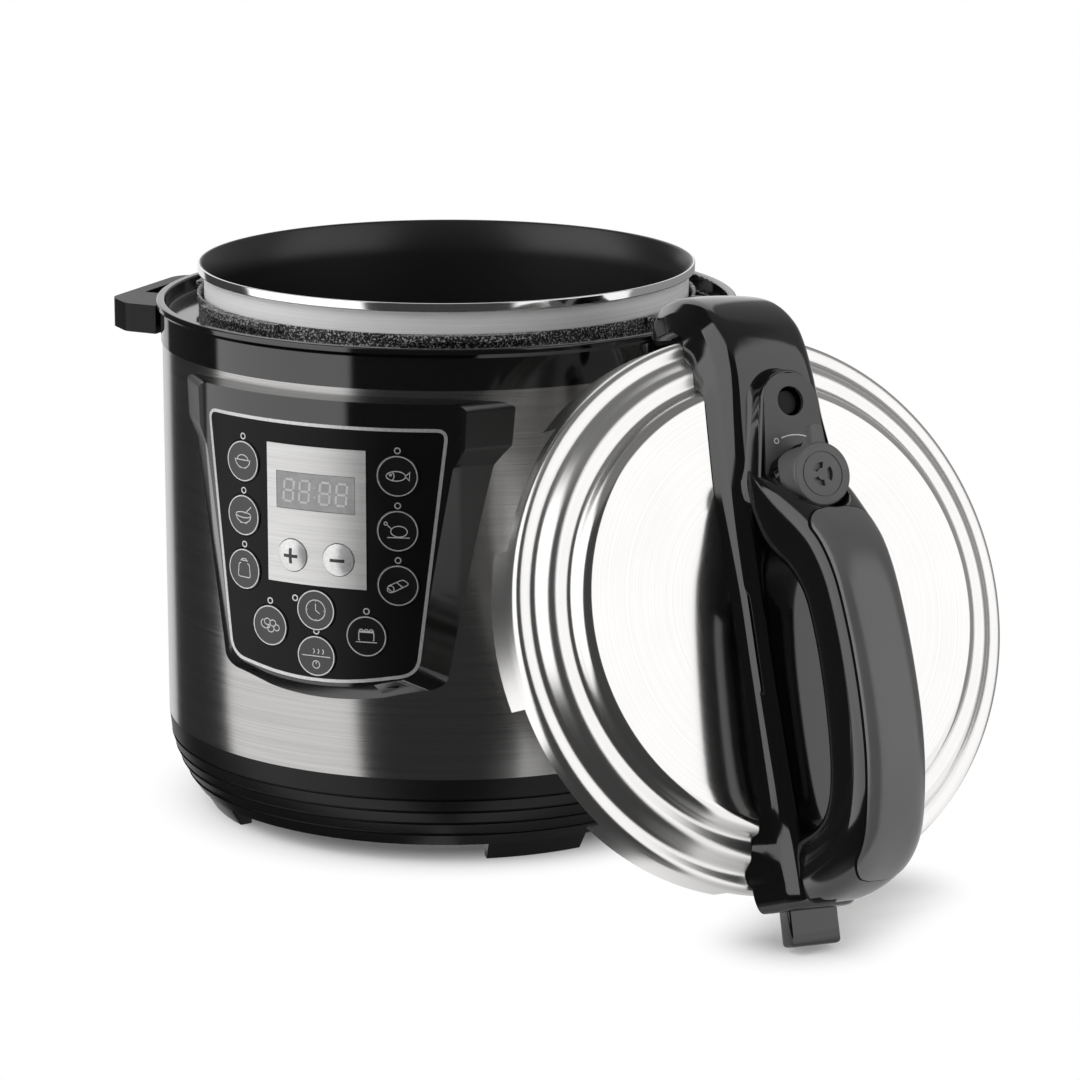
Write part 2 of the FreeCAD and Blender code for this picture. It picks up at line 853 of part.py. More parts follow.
def bottom_cover():
    body = new_body("cover")
    disc = draw_circle(new_sketch(body, "XY_Plane", d.foot_height), 0, 0, d.cover_radius)
    pad(body, disc, d.cover_thickness)
    half = d.vent_width / 2
    vent = draw(new_sketch(body, "XY_Plane"), rectangle(d.vent_start, d.vent_end, -half, half, d.vent_edge))
    vent_cut = pocket(body, vent, d.foot_height + d.cover_thickness, along_normal=True)
    polar(body, [vent_cut], d.vent_count)
    hole = draw_circle(new_sketch(body, "XY_Plane"), screw_circle(), 0, d.screw_radius)
    hole_cut = pocket(body, hole, d.foot_height + d.cover_thickness, along_normal=True)
    polar(body, [hole_cut], d.screw_count)
    node(body, "bottom_cover")


def cover_screws():
    shapes = []
    for x, y in ring_spots(screw_circle(), d.screw_count):
        body = new_body("screw")
        seat = d.foot_height
        head = seat - d.screw_head_height
        corners = [(0, head), (d.screw_head_radius, head), (d.screw_head_radius, seat)]
        corners.append((d.screw_radius, seat))
        corners.append((d.screw_radius, seat + d.screw_length))
        corners.append((0, seat + d.screw_length))
        revolve(body, corners)
        body.Placement = upright(x, y, 0)
        shapes.append(body)
    node(group(shapes), "cover_screws")


def feet():
    corners = [(d.foot_inner, d.foot_height), (d.foot_inner + d.foot_edge, 0), (d.foot_tip, 0, d.foot_edge)]
    corners.append((d.foot_outer, d.foot_height))
    names = ("foot_rear_right", "foot_rear_left", "foot_front_left", "foot_front_right")
    for number, name in enumerate(names):
        body = new_body("foot")
        revolve(body, corners, d.foot_span)
        node(body, name, turned(d.foot_turn.value + 360 * number / len(names)))


def power_inlet():
    body = new_body("inlet")
    half = d.inlet_width / 2
    top = d.inlet_bottom + d.inlet_height
    block = new_sketch(body, "XZ_Plane", -d.inlet_front)
    draw(block, rectangle(-half, half, d.inlet_bottom, top))
    pad(body, block, d.inlet_depth)
    middle = d.inlet_bottom + d.inlet_height / 2
    socket_half = d.inlet_socket_width / 2
    low = middle - d.inlet_socket_height / 2
    high = middle + d.inlet_socket_height / 2
    socket = new_sketch(body, "XZ_Plane", -d.inlet_front)
    draw(socket, rectangle(-socket_half, socket_half, low, high, d.inlet_socket_edge))
    pocket(body, socket, d.inlet_socket_depth, along_normal=True)
    pin_half = d.pin_width / 2
    pin_low = middle - d.pin_height / 2
    outer_low = pin_low - d.pin_stagger
    socket_floor = d.inlet_front - d.inlet_socket_depth
    pins = [(-d.pin_spread, outer_low), (0, pin_low + d.pin_stagger), (d.pin_spread, outer_low)]
    for place, low_edge in pins:
        pin = new_sketch(body, "XZ_Plane", -socket_floor)
        draw(pin, rectangle(place - pin_half, place + pin_half, low_edge, low_edge + d.pin_height))
        blade = pad(body, pin, d.pin_length)
        blade.Reversed = True
    node(body, "power_inlet")


def upper_ring():
    body = new_body("ring")
    spigot = d.shell_radius - d.shell_wall - d.fit_gap
    spigot_low = d.shell_top - d.spigot_height
    bead_low = d.ring_top - d.bead_height
    inside = d.ring_radius - d.ring_wall
    under = d.trough_floor - d.ring_wall
    corners = [(d.ring_radius, d.shell_top), (d.ring_radius, bead_low - d.bead_proud)]
    corners.append((d.bead_radius, bead_low))
    corners.append((d.bead_radius, d.ring_top, d.ring_edge))
    corners.append((inside + d.ring_edge, d.ring_top, d.ring_edge))
    corners.append((inside, d.trough_floor, d.trough_edge))
    corners.append((d.outer_pot_radius, d.trough_floor))
    corners.append((d.outer_pot_radius, under))
    corners.append((spigot - d.spigot_wall, under))
    corners.append((spigot - d.spigot_wall, spigot_low))
    corners.append((spigot, spigot_low))
    corners.append((spigot, d.shell_top))
    revolve(body, corners)
    node(body, "upper_ring")


def side_handle(name, angle):
    body = new_body("side_grip")
    low = d.grip_top - d.grip_height
    root = d.ring_radius - d.ring_wall
    half = d.grip_half_width
    end = d.grip_reach - d.grip_end
    tip = half - d.grip_corner
    corners = [(root, -half - d.grip_flare), (end, -half, d.grip_side_round)]
    corners.append((d.grip_reach, -tip, d.grip_corner_round))
    corners.append((d.grip_reach, tip, d.grip_corner_round))
    corners.append((end, half, d.grip_side_round))
    corners.append((root, half + d.grip_flare))
    pad(body, draw(new_sketch(body, "XY_Plane", low), corners), d.grip_height)
    slot_half = d.slot_length / 2
    slot_end = d.slot_start + d.slot_width
    slot = new_sketch(body, "XY_Plane", low)
    draw(slot, rectangle(d.slot_start, slot_end, -slot_half, slot_half, d.slot_edge))
    pocket(body, slot, d.grip_height, along_normal=True)
    # Open moulding underneath, each side of the slot
    depth = d.grip_height - d.grip_skin
    inner = slot_half + d.grip_skin
    outer = half - 2 * d.grip_skin
    for side in (-1, 1):
        hollow = new_sketch(body, "XY_Plane", low)
        draw(hollow, rectangle(d.slot_start, slot_end, inner * side, outer * side, d.slot_edge))
        pocket(body, hollow, depth, along_normal=True)
    tool = cylinder(d.ring_radius, d.ring_top, upright(0, 0, 0))
    node(boolean("Cut", body, tool), name, turned(angle))


def outer_pot():
    body = new_body("liner")
    inside = d.outer_pot_radius - d.outer_pot_wall
    floor_top = d.outer_pot_floor + d.outer_pot_wall
    flange_low = d.flange_top - d.flange_thickness
    corners = [(d.outer_pot_radius, flange_low), (d.outer_pot_radius, d.outer_pot_floor, d.outer_pot_corner)]
    corners.append((d.outer_pot_hole, d.outer_pot_floor))
    corners.append((d.outer_pot_hole, floor_top))
    corners.append((inside, floor_top, d.outer_pot_corner - d.outer_pot_wall))
    corners.append((inside, d.flange_top, d.flange_edge))
    corners.append((d.flange_radius, d.flange_top))
    corners.append((d.flange_radius, flange_low))
    revolve(body, corners)
    tooth_root = d.outer_pot_radius - d.outer_pot_wall / 2
    tooth = revolve(body, rectangle(tooth_root, d.tooth_radius, flange_low, d.flange_top), d.tooth_span)
    polar(body, [tooth], d.tooth_count)
    node(body, "outer_pot")


def pot_supports():
    low = d.foot_height + d.base_floor
    height = d.outer_pot_floor - low
    rods = []
    for x, y in ring_spots(d.support_circle, d.support_count, d.support_turn.value):
        rods.append(cylinder(d.support_radius, height, upright(x, y, low.value)))
    node(group(rods), "pot_supports")


def inner_pot():
    body = new_body("pot")
    inside = d.pot_radius - d.pot_wall
    rim_low = d.rim_top - d.rim_height
    corners = [(0, d.pot_bottom), (d.pot_radius, d.pot_bottom, d.pot_corner)]
    corners.append((d.pot_radius, rim_low))
    corners.append((d.rim_radius, rim_low, d.rim_under_edge))
    corners.append((d.rim_radius, d.rim_top, d.rim_edge))
    corners.append((inside, d.rim_top, d.rim_inner_edge))
    corners.append((inside, d.pot_bottom + d.pot_wall, d.pot_corner - d.pot_wall))
    corners.append((0, d.pot_bottom + d.pot_wall))
    revolve(body, corners)
    node(body, "inner_pot")


def heating_plate():
    body = new_body("hotplate")
    hole = d.sensor_radius + d.sensor_gap
    low = d.plate_top - d.plate_thickness
    seat = d.outer_pot_floor + d.outer_pot_wall
    corners = [(hole, d.plate_top), (d.plate_radius, d.plate_top, d.plate_edge), (d.plate_radius, low)]
    corners.append((d.plate_boss_outer, low))
    corners.append((d.plate_boss_outer, seat))
    corners.append((d.plate_boss_inner, seat))
    corners.append((d.plate_boss_inner, low))
    corners.append((hole, low))
    revolve(body, corners)
    node(body, "heating_plate")


def temperature_sensor():
    body = new_body("probe")
    top = d.plate_top
    under = top - d.sensor_cap
    stem_end = d.outer_pot_floor - d.sensor_tail
    corners = [(0, stem_end), (d.sensor_stem, stem_end), (d.sensor_stem, under)]
    corners.append((d.sensor_radius, under))
    corners.append((d.sensor_radius, top, d.sensor_edge))
    corners.append((0, top))
    revolve(body, corners)
    node(body, "temperature_sensor")
    coil = new_body("coil")
    revolve(coil, rectangle(d.spring_inner, d.spring_outer, d.outer_pot_floor, under))
    node(coil, "sensor_spring")


def sensor_bracket():
    body = new_body("strap")
    low = d.outer_pot_floor - d.bracket_thickness
    half_length = d.bracket_length / 2
    half_width = d.bracket_width / 2
    strap = new_sketch(body, "XY_Plane", low)
    draw(strap, rectangle(-half_length, half_length, -half_width, half_width, d.bracket_edge))
    draw_circle(strap, 0, 0, d.sensor_stem + d.running_gap)
    pad(body, strap, d.bracket_thickness)
    node(body, "sensor_bracket")


def pressure_switch():
    body = new_body("pressure_unit")
    half_length = d.switch_length / 2
    low = d.outer_pot_floor - d.switch_height
    place = d.switch_place
    case = new_sketch(body, "XY_Plane", low)
    draw(case, rectangle(-half_length, half_length, place, place + d.switch_width, d.switch_edge))
    pad(body, case, d.switch_height)
    node(body, "pressure_switch")


def power_board():
    body = new_body("board")
    half_length = d.board_length / 2
    half_width = d.board_width / 2
    sheet_outline = new_sketch(body, "XY_Plane", d.board_height)
    draw(sheet_outline, rectangle(-half_length, half_length, -half_width, half_width, d.board_edge))
    pad(body, sheet_outline, d.board_thickness)
    # Relay, coil and capacitor as left edge, length, front edge, width and height
    blocks = [(d.relay_left, d.relay_length, d.relay_front, d.relay_width, d.relay_height)]
    blocks.append((d.coil_left, d.coil_length, d.coil_front, d.coil_width, d.coil_height))
    capacitor_place = (d.capacitor_left, d.capacitor_length, d.capacitor_front)
    blocks.append(capacitor_place + (d.capacitor_width, d.capacitor_height))
    for left, length, front, width, height in blocks:
        block = new_sketch(body, "XY_Plane", d.board_height + d.board_thickness)
        draw(block, rectangle(left, left + length, front, front + width))
        pad(body, block, height)
    node(body, "power_board")
    posts = []
    cover_top = d.foot_height + d.cover_thickness
    x = half_length - d.post_inset
    y = half_width - d.post_inset
    for across in (-1, 1):
        for along in (-1, 1):
            spot = upright(across * x.value, along * y.value, cover_top.value)
            posts.append(cylinder(d.post_radius, d.board_height - cover_top, spot))
    node(group(posts), "board_posts")


def key_places():
    # Each key's name, arc from the panel's middle line, height and radius
    places = []
    for row in range(3):
        height = d.column_top - d.column_pitch * row
        places.append((f"key_left_{row + 1}", -d.column_arc, height, d.key_radius))
        places.append((f"key_right_{row + 1}", d.column_arc, height, d.key_radius))
    places.append(("key_low_left", -d.pair_arc, d.pair_height, d.key_radius))
    places.append(("key_low_right", d.pair_arc, d.pair_height, d.key_radius))
    places.append(("key_centre_high", as_size(0), d.centre_high, d.key_radius))
    places.append(("key_centre_low", as_size(0), d.centre_low, d.key_radius))
    places.append(("key_plus", -d.small_key_arc, d.small_key_height, d.small_key_radius))
    places.append(("key_minus", d.small_key_arc, d.small_key_height, d.small_key_radius))
    return places


def key_bores():
    # Radial bores for the keys, through the panel's face and the display plate
    reach = d.panel_radius - d.panel_skin * 2
    rods = []
    for name, arc, height, radius in key_places():
        rods.append(cylinder(radius + d.key_gap, d.panel_skin * 4, radial(arc, height, reach)))
    bores = doc.addObject("Part::MultiFuse", "bores")
    bores.Shapes = rods
    return bores


def panel_sector(low, high, inside, outside, span):
    # A band round the pot's axis, its middle on the -Y side
    body = new_body("sector")
    revolve(body, rectangle(inside, outside, low, high), span)
    body.Placement = turned(-90)
    return body


def panel_outline(depth):
    # The outline at a distance in front of the pot's axis, drawn in towards the front
    ahead = depth - d.panel_depth
    side = d.panel_side_draft * ahead
    dip = d.panel_dip + d.panel_dip_draft * ahead
    low = d.panel_low + d.panel_low_draft * ahead
    right_half = [(0, dip, d.panel_dip_round), (d.panel_low_half - side, low, d.panel_corner)]
    right_half.append((d.panel_waist_half - side, d.panel_waist, d.panel_waist_round))
    right_half.append((d.panel_notch_half - side, d.panel_notch, d.panel_notch_round))
    right_half.append((d.panel_top_half - side, d.panel_top, d.panel_top_round))
    return mirrored(right_half)


def panel_face():
    # The raised face: a band round the pot's side, with sides that slope down to the shell
    body = new_body("panel_prism")
    back_depth = d.panel_depth - d.panel_back
    front_depth = d.panel_radius + d.panel_overrun
    sections = []
    for depth in (back_depth, front_depth):
        sections.append(draw(new_sketch(body, "XZ_Plane", depth), panel_outline(depth)))
    slope = body.newObject("PartDesign::AdditiveLoft", "slope")
    slope.Profile = sections[0]
    slope.Sections = sections[1:]
    slope.Ruled = True
    band = panel_sector(d.shell_bottom, d.shell_top, d.shell_radius, d.panel_radius, d.panel_span)
    return boolean("Common", body, band)


def cavity(low, high, half_width, inside, outside):
    # A space or a sheet behind the panel's face, as wide as the keys in front of it
    return panel_sector(low, high, inside, outside, arc_span(2 * half_width, d.panel_radius))


def control_panel(bores):
    inside = d.shell_radius - d.overrun
    outside = d.panel_radius - d.panel_skin
    wide = cavity(d.cavity_mid, d.cavity_high, d.cavity_half, inside, outside)
    narrow = cavity(d.cavity_low, d.cavity_mid, d.cavity_low_half, inside, outside)
    tray = boolean("Cut", panel_face(), boolean("Fuse", wide, narrow))
    window = new_body("window_prism")
    half = d.window_width / 2 - d.window_border
    low_edge = d.window_middle - d.window_height / 2 + d.window_border
    high_edge = d.window_middle + d.window_height / 2 - d.window_border
    opening = draw(new_sketch(window, "XZ_Plane"), rectangle(-half, half, low_edge, high_edge))
    pad(window, opening, d.panel_radius + d.overrun)
    framed = boolean("Cut", tray, window)
    node(boolean("Cut", framed, bores), "control_panel")


def arc_span(width, radius):
    # The angle of an arc of that width, in degrees
    return width / radius * (180 / math.pi)


def display(bores):
    outside = d.panel_radius + d.display_thickness
    span = arc_span(d.display_width, d.panel_radius)
    plate = panel_sector(d.display_low, d.display_high, d.panel_radius, outside, span)
    low = d.window_middle - d.window_height / 2
    high = d.window_middle + d.window_height / 2
    gap = d.fit_gap
    window_span = arc_span(d.window_width, d.panel_radius)
    lens_span = arc_span(d.window_width - 2 * gap, d.panel_radius)
    opening_inside = d.panel_radius - d.overrun
    opening = panel_sector(low, high, opening_inside, outside + d.overrun, window_span)
    framed = boolean("Cut", plate, opening)
    node(boolean("Cut", framed, bores), "display_plate")
    lens_outside = d.panel_radius + d.window_thickness
    lens = panel_sector(low + gap, high - gap, d.panel_radius, lens_outside, lens_span)
    node(lens, "display_window")
    module = new_body("digits")
    half = d.window_width / 2 - d.window_border - gap
    back = d.shell_radius + d.circuit_thickness
    low_edge = low + d.window_border + gap
    high_edge = high - d.window_border - gap
    block = draw(new_sketch(module, "XZ_Plane", back), rectangle(-half, half, low_edge, high_edge))
    pad(module, block, d.module_depth)
    node(module, "display_module")


def key_circuit():
    inside = d.shell_radius
    outside = d.shell_radius + d.circuit_thickness
    margin = d.circuit_margin
    wide = cavity(d.cavity_mid, d.cavity_high - margin, d.cavity_half - margin, inside, outside)
    narrow = cavity(d.cavity_low + margin, d.cavity_mid, d.cavity_low_half - margin, inside, outside)
    node(boolean("Fuse", wide, narrow), "key_circuit")
    domes = [cylinder(d.dome_radius, d.dome_height, radial(arc, height, outside))
             for name, arc, height, radius in key_places()]
    node(group(domes), "key_domes")


def keys():
    seat = d.shell_radius + d.key_room
    for name, arc, height, radius in key_places():
        body = new_body("button")
        on_plate = radius is d.small_key_radius
        proud = d.key_proud + d.display_thickness if on_plate else d.key_proud
        top = d.panel_radius + proud - seat
        lip = radius + d.key_lip
        corners = [(0, 0), (lip, 0), (lip, d.key_lip_height), (radius, d.key_lip_height)]
        corners.append((radius, top, d.key_edge))
        corners.append((0, top))
        revolve(body, corners)
        node(body, name, radial(arc, height, seat))


def lid_corners(inset):
    # The pressed steps from the skirt up to the crown, drawn in by the sheet's thickness
    step_low = d.skirt_height + d.step_height
    step_high = step_low + d.step_height
    step_outer = d.shoulder_inner - d.riser_run
    step_inner = step_outer - d.step_width
    crown_outer = step_inner - d.crown_riser
    corners = [(d.lid_radius - inset, d.skirt_height - inset, d.skirt_edge)]
    corners.append((d.shoulder_inner - inset, d.skirt_height - inset, d.riser_foot))
    corners.append((step_outer - inset, step_low - inset, d.step_edge))
    corners.append((step_inner - inset, step_low - inset, d.riser_foot))
    corners.append((crown_outer - inset, step_high - inset, d.crown_edge))
    corners.append((d.crown_radius, step_high + d.crown_height * d.crown_share - inset, d.crown_round))
    corners.append((0, d.lid_height - inset))
    return corners


def crown_at(place):
    # Height of the outside of the crown at a distance from the lid's middle, within the flat cone
    step_high = d.lid_height - d.crown_height
    crown_outer = d.shoulder_inner - d.riser_run - d.step_width - d.crown_riser
    share = (crown_outer - place) / (crown_outer - d.crown_radius)
    return step_high + d.crown_height * d.crown_share * share


def lid_shell(pose):
    body = new_body("lid_sheet")
    inside = d.lid_radius - d.lid_wall
    rim = [(inside, d.skirt_low), (d.lid_radius, d.skirt_low)]
    revolve(body, rim + lid_corners(as_size(0)) + list(reversed(lid_corners(d.lid_wall))))
    # Bayonet tabs behind the rim, each with a lug at its foot
    tab_top = d.skirt_low + d.overrun
    tab = revolve(body, rectangle(inside, d.lid_radius, 0, tab_top), d.bayonet_span)
    polar(body, [tab], d.tooth_count)
    root = d.lid_radius - d.lid_wall / 2
    lug_top = d.lug_bottom + d.lug_thickness
    lug = revolve(body, rectangle(d.lug_radius, root, d.lug_bottom, lug_top), d.lug_span)
    polar(body, [lug], d.tooth_count)
    holes = ((d.valve_place, d.pipe_radius + d.pipe_gap), (d.float_place, d.float_stem + d.pipe_gap))
    for place, radius in holes:
        hole = draw_circle(new_sketch(body, "XY_Plane"), 0, place, radius)
        body.Tip = pocket(body, hole, d.bridge_top, along_normal=True)
    node(body, "lid_shell", pose)


def sealing_ring(pose):
    body = new_body("gasket")
    outside = d.lid_radius - d.lid_wall - d.fit_gap
    top = d.skirt_height - d.lid_wall
    lip = d.seal_lip
    low = top - d.seal_leg
    slope = d.seal_slope
    inner_top = top - d.seal_dip
    inner_low = top - d.seal_depth
    corners = [(outside, low), (outside, top - slope), (outside - slope, top), (d.shoulder_inner, top)]
    corners.append((d.seal_inner, inner_top))
    corners.append((d.seal_inner, inner_low))
    corners.append((d.seal_inner + lip, inner_low))
    corners.append((d.seal_inner + lip, inner_top - lip))
    corners.append((d.shoulder_inner, top - lip))
    corners.append((outside - lip, top - slope - lip))
    corners.append((outside - lip, low))
    revolve(body, corners)
    node(body, "sealing_ring", pose)
    wire = doc.addObject("Part::Torus", "wire")
    bind(wire, "Radius1", d.seal_inner - d.wire_radius)
    bind(wire, "Radius2", d.wire_radius)
    height = (inner_top + inner_low) / 2
    node(wire, "seal_carrier", pose * upright(0, 0, height.value))


def lid_envelope():
    # The lid as a filled form, to shape what sits on it
    body = new_body("lid_form")
    corners = [(0, -d.overrun), (d.lid_radius, -d.overrun)]
    revolve(body, corners + lid_corners(as_size(0)))
    return body


def valve_bores():
    # Bores for the steam pipe and the float valve through the handle
    radius = d.pipe_radius + d.pipe_gap
    pipe = cylinder(radius, d.knob_top, upright(0, d.valve_place.value, 0))
    float_bore = cylinder(d.float_hole, d.knob_top, upright(0, d.float_place.value, 0))
    return boolean("Fuse", pipe, float_bore)


def slope_of(angle):
    # The sideways run for each millimetre of height at an angle in degrees
    return Size(math.tan(math.radians(angle.value)), f"tan({angle.text} * 1 deg)")


def bridge_outline(inset):
    right_half = [(d.tail_half_width - inset, inset - d.tail_end, d.tail_round)]
    right_half.append((d.bridge_half_width - inset, -d.tail_bend, d.tail_bend_round))
    right_half.append((d.bridge_half_width - inset, d.nose_bend, d.nose_bend_round))
    right_half.append((d.nose_half_width - inset, d.nose_end - inset, d.nose_round))
    return mirrored(right_half)


def trim_nose(body):
    # Rounds the handle's nose down from its top past the lid's rim
    top = d.bridge_top + d.nose_round
    far = d.nose_end + d.nose_round
    low = -d.hook_depth - d.overrun
    corners = [(d.nose_brow, d.bridge_top), (d.nose_cheek, d.bridge_top - d.cheek_drop, d.cheek_round)]
    corners.append((d.nose_tip, d.bridge_top - d.tip_drop, d.tip_round))
    corners.append((d.nose_chin, d.chin_height, d.chin_round))
    corners.append((d.hook_end, low))
    corners.append((far, low))
    corners.append((far, top))
    corners.append((d.nose_brow, top))
    profile = draw(new_sketch(body, "YZ_Plane"), corners)
    return pocket(body, profile, d.bridge_half_width * 4, symmetric=True)


def handle_bridge(pose, envelope, bores):
    body = new_body("bridge")
    rise = d.bridge_edge - d.bridge_bottom
    foot = draw(new_sketch(body, "XY_Plane", d.bridge_bottom), bridge_outline(as_size(0)))
    pad(body, foot, rise, taper=-d.bridge_draft)
    inset = rise * slope_of(d.bridge_draft)
    shoulder = draw(new_sketch(body, "XY_Plane", d.bridge_edge), bridge_outline(inset))
    pad(body, shoulder, d.bridge_top - d.bridge_edge, taper=-d.shoulder_draft)
    # Hook behind the lid's rim
    hook_top = d.bridge_bottom + d.hook_gap
    hook = [(d.hook_inner, hook_top), (d.hook_inner, -d.hook_depth, d.hook_edge)]
    hook.append((d.nose_chin, -d.hook_depth))
    hook.append((d.nose_chin, hook_top))
    pad(body, draw(new_sketch(body, "YZ_Plane"), hook), d.hook_half_width * 2, symmetric=True)
    trim_nose(body)
    # Heel that rests on a side handle when the lid stands beside the pot
    heel = new_sketch(body, "XY_Plane", -d.heel_depth)
    draw(heel, rectangle(0, d.hook_half_width, d.hook_inner, d.hook_inner + d.heel_length))
    pad(body, heel, d.heel_depth)
    # Tail, clear of the lid's rim behind its tab
    under = new_sketch(body, "YZ_Plane")
    far = -d.tail_end - d.overrun
    draw(under, rectangle(far, -d.shoulder_inner, d.bridge_bottom - d.overrun, d.tab_bottom))
    pocket(body, under, d.bridge_half_width * 4, symmetric=True)
    tab = new_sketch(body, "XY_Plane", d.tab_bottom)
    half = d.tab_width / 2
    draw(tab, rectangle(-half, half, -d.tab_end, d.tab_root - d.tail_end))
    pad(body, tab, d.tab_thickness)
    seated = boolean("Cut", body, envelope)
    node(boolean("Cut", seated, bores), "handle_bridge", pose)


def arch_corners(across, up):
    # The grip's back from its tail to its front, moved across and up
    middle = d.arch_shoulder / 2
    corners = [(across - d.arch_shoulder, d.arch_top - d.arch_tail_drop + up, d.arch_tail_round)]
    corners.append((across - middle, d.arch_top + d.arch_rise + up, d.arch_back_round))
    corners.append((across + d.arch_front, d.arch_top - d.arch_front_drop + up, d.arch_front_round))
    return corners


def back_edges(feature):
    # Names of the edges along both sides of the grip's back
    names = []
    slack = d.overrun.value
    for number, edge in enumerate(feature.Shape.Edges, 1):
        middle = edge.CenterOfMass
        on_side = abs(abs(middle.x) - d.arch_half_width.value) < d.fit_gap.value
        along_gap = -d.gap_tail.value - slack < middle.y < d.gap_front.value + slack
        round_gap = along_gap and middle.z < d.gap_top.value + slack
        on_foot = middle.z < d.bridge_top.value + slack or middle.y > d.arch_foot.value - slack
        if on_side and not round_gap and not on_foot:
            names.append(f"Edge{number}")
    return names


def handle_grip(pose, bores):
    body = new_body("grip")
    low = d.bridge_top
    corners = [(-d.arch_tail, low)]
    corners += arch_corners(as_size(0), as_size(0))
    corners.append((d.arch_foot, d.head_top + d.arch_step))
    corners.append((d.arch_foot, low))
    corners.append((d.gap_front, low))
    corners.append((d.gap_front, d.gap_top, d.gap_corner))
    corners.append((-d.gap_tail, d.gap_top, d.gap_corner))
    corners.append((-d.gap_tail, low))
    arch = draw(new_sketch(body, "YZ_Plane"), corners)
    back = pad(body, arch, d.arch_half_width * 2, symmetric=True)
    doc.recompute()
    soft = body.newObject("PartDesign::Fillet", "soft")
    soft.Base = (back, back_edges(back))
    bind(soft, "Radius", d.arch_edge)
    # Head under the valves, rounded off towards the nose
    head = [(d.head_half_width, d.gap_front), (d.head_half_width, d.head_bend, d.head_bend_round)]
    head.append((d.head_toe_half_width, d.head_toe, d.head_toe_round))
    pad(body, draw(new_sketch(body, "XY_Plane", low), mirrored(head)), d.head_height, taper=-d.head_draft)
    # Seat of the inlay along the grip's back
    seat_width = d.inlay_half_width * 2 + 2 * d.fit_gap
    pocket(body, inlay_outline(body, d.inlay_cut), seat_width, symmetric=True)
    # Well round the valve's knob and seat of the dial plate
    well = draw_circle(new_sketch(body, "XY_Plane", d.head_top), 0, d.valve_place, d.knob_well)
    pocket(body, well, d.arch_top, along_normal=True)
    seat = new_sketch(body, "XY_Plane", d.head_top - d.dial_thickness)
    draw(seat, dial_outline(as_size(0)))
    pocket(body, seat, d.dial_thickness * 4, along_normal=True)
    node(boolean("Cut", body, bores), "handle_grip", pose)


def inlay_outline(body, lift):
    # A strip that follows the grip's back, from its tail to its front
    back_rise = d.arch_top - d.arch_tail_drop - d.bridge_top
    tail = -d.arch_tail + d.arch_lean * (d.inlay_lift / back_rise)
    front = d.arch_front + d.inlay_front
    front_top = d.arch_top - d.arch_front_drop
    front_fall = front_top - d.head_top - d.arch_step
    front_height = front_top - front_fall * (d.inlay_front / d.front_slope)
    outer = [(tail - lift * d.inlay_tail_lean, d.inlay_tail + lift)]
    outer += arch_corners(-lift * d.inlay_tail_lean, lift)
    outer.append((front + lift * d.inlay_front_lean, front_height + lift))
    inner = [(tail + d.inlay_run, d.inlay_tail - d.inlay_thickness)]
    inner += arch_corners(d.inlay_run, -d.inlay_thickness)
    inner.append((front + d.inlay_run, front_height - d.inlay_thickness))
    return draw(new_sketch(body, "YZ_Plane"), outer + list(reversed(inner)))


def grip_inlay(pose):
    body = new_body("inlay")
    pad(body, inlay_outline(body, as_size(0)), d.inlay_half_width * 2, symmetric=True)
    node(body, "grip_inlay", pose)


def dial_outline(inset):
    # An egg shape, wide round the knob and narrow round the float valve
    wide = d.dial_half_width - inset
    narrow = d.dial_float_half_width - inset
    low = d.valve_place - wide
    high = d.float_place + narrow
    return mirrored([(wide, low, wide * d.dial_wide_round), (narrow, high, narrow * d.dial_round)])


def dial_plate(pose):
    body = new_body("dial")
    low = d.head_top - d.dial_thickness
    plate = draw(new_sketch(body, "XY_Plane", low), dial_outline(d.fit_gap))
    draw_circle(plate, 0, d.valve_place, d.dial_hole)
    draw_circle(plate, 0, d.float_place, d.float_hole)
    pad(body, plate, d.dial_thickness)
    node(body, "dial_plate", pose)


def steam_pipe(pose):
    body = new_body("pipe")
    under = crown_at(d.valve_place) - d.lid_wall - d.nut_drop
    low = under - d.pipe_nut_height
    corners = [(d.pipe_bore, low), (d.pipe_nut_radius, low), (d.pipe_nut_radius, under)]
    corners.append((d.pipe_radius, under))
    corners.append((d.pipe_radius, d.pipe_top, d.pipe_edge))
    corners.append((d.pipe_bore, d.pipe_top))
    revolve(body, corners)
    node(body, "steam_pipe", pose * upright(0, d.valve_place.value, 0))
    cap = new_body("strainer")
    wall = d.strainer_wall
    inside = d.strainer_radius - wall
    bottom = low - d.strainer_depth
    top = low + d.strainer_lip
    corners = [(0, bottom), (d.strainer_radius, bottom, d.strainer_edge), (d.strainer_radius, top)]
    corners.append((inside, top))
    corners.append((inside, low))
    corners.append((d.pipe_nut_radius, low))
    corners.append((d.pipe_nut_radius, low - wall))
    corners.append((inside, low - wall))
    corners.append((inside, bottom + wall))
    corners.append((0, bottom + wall))
    revolve(cap, corners)
    node(cap, "strainer_cap", pose * upright(0, d.valve_place.value, 0))


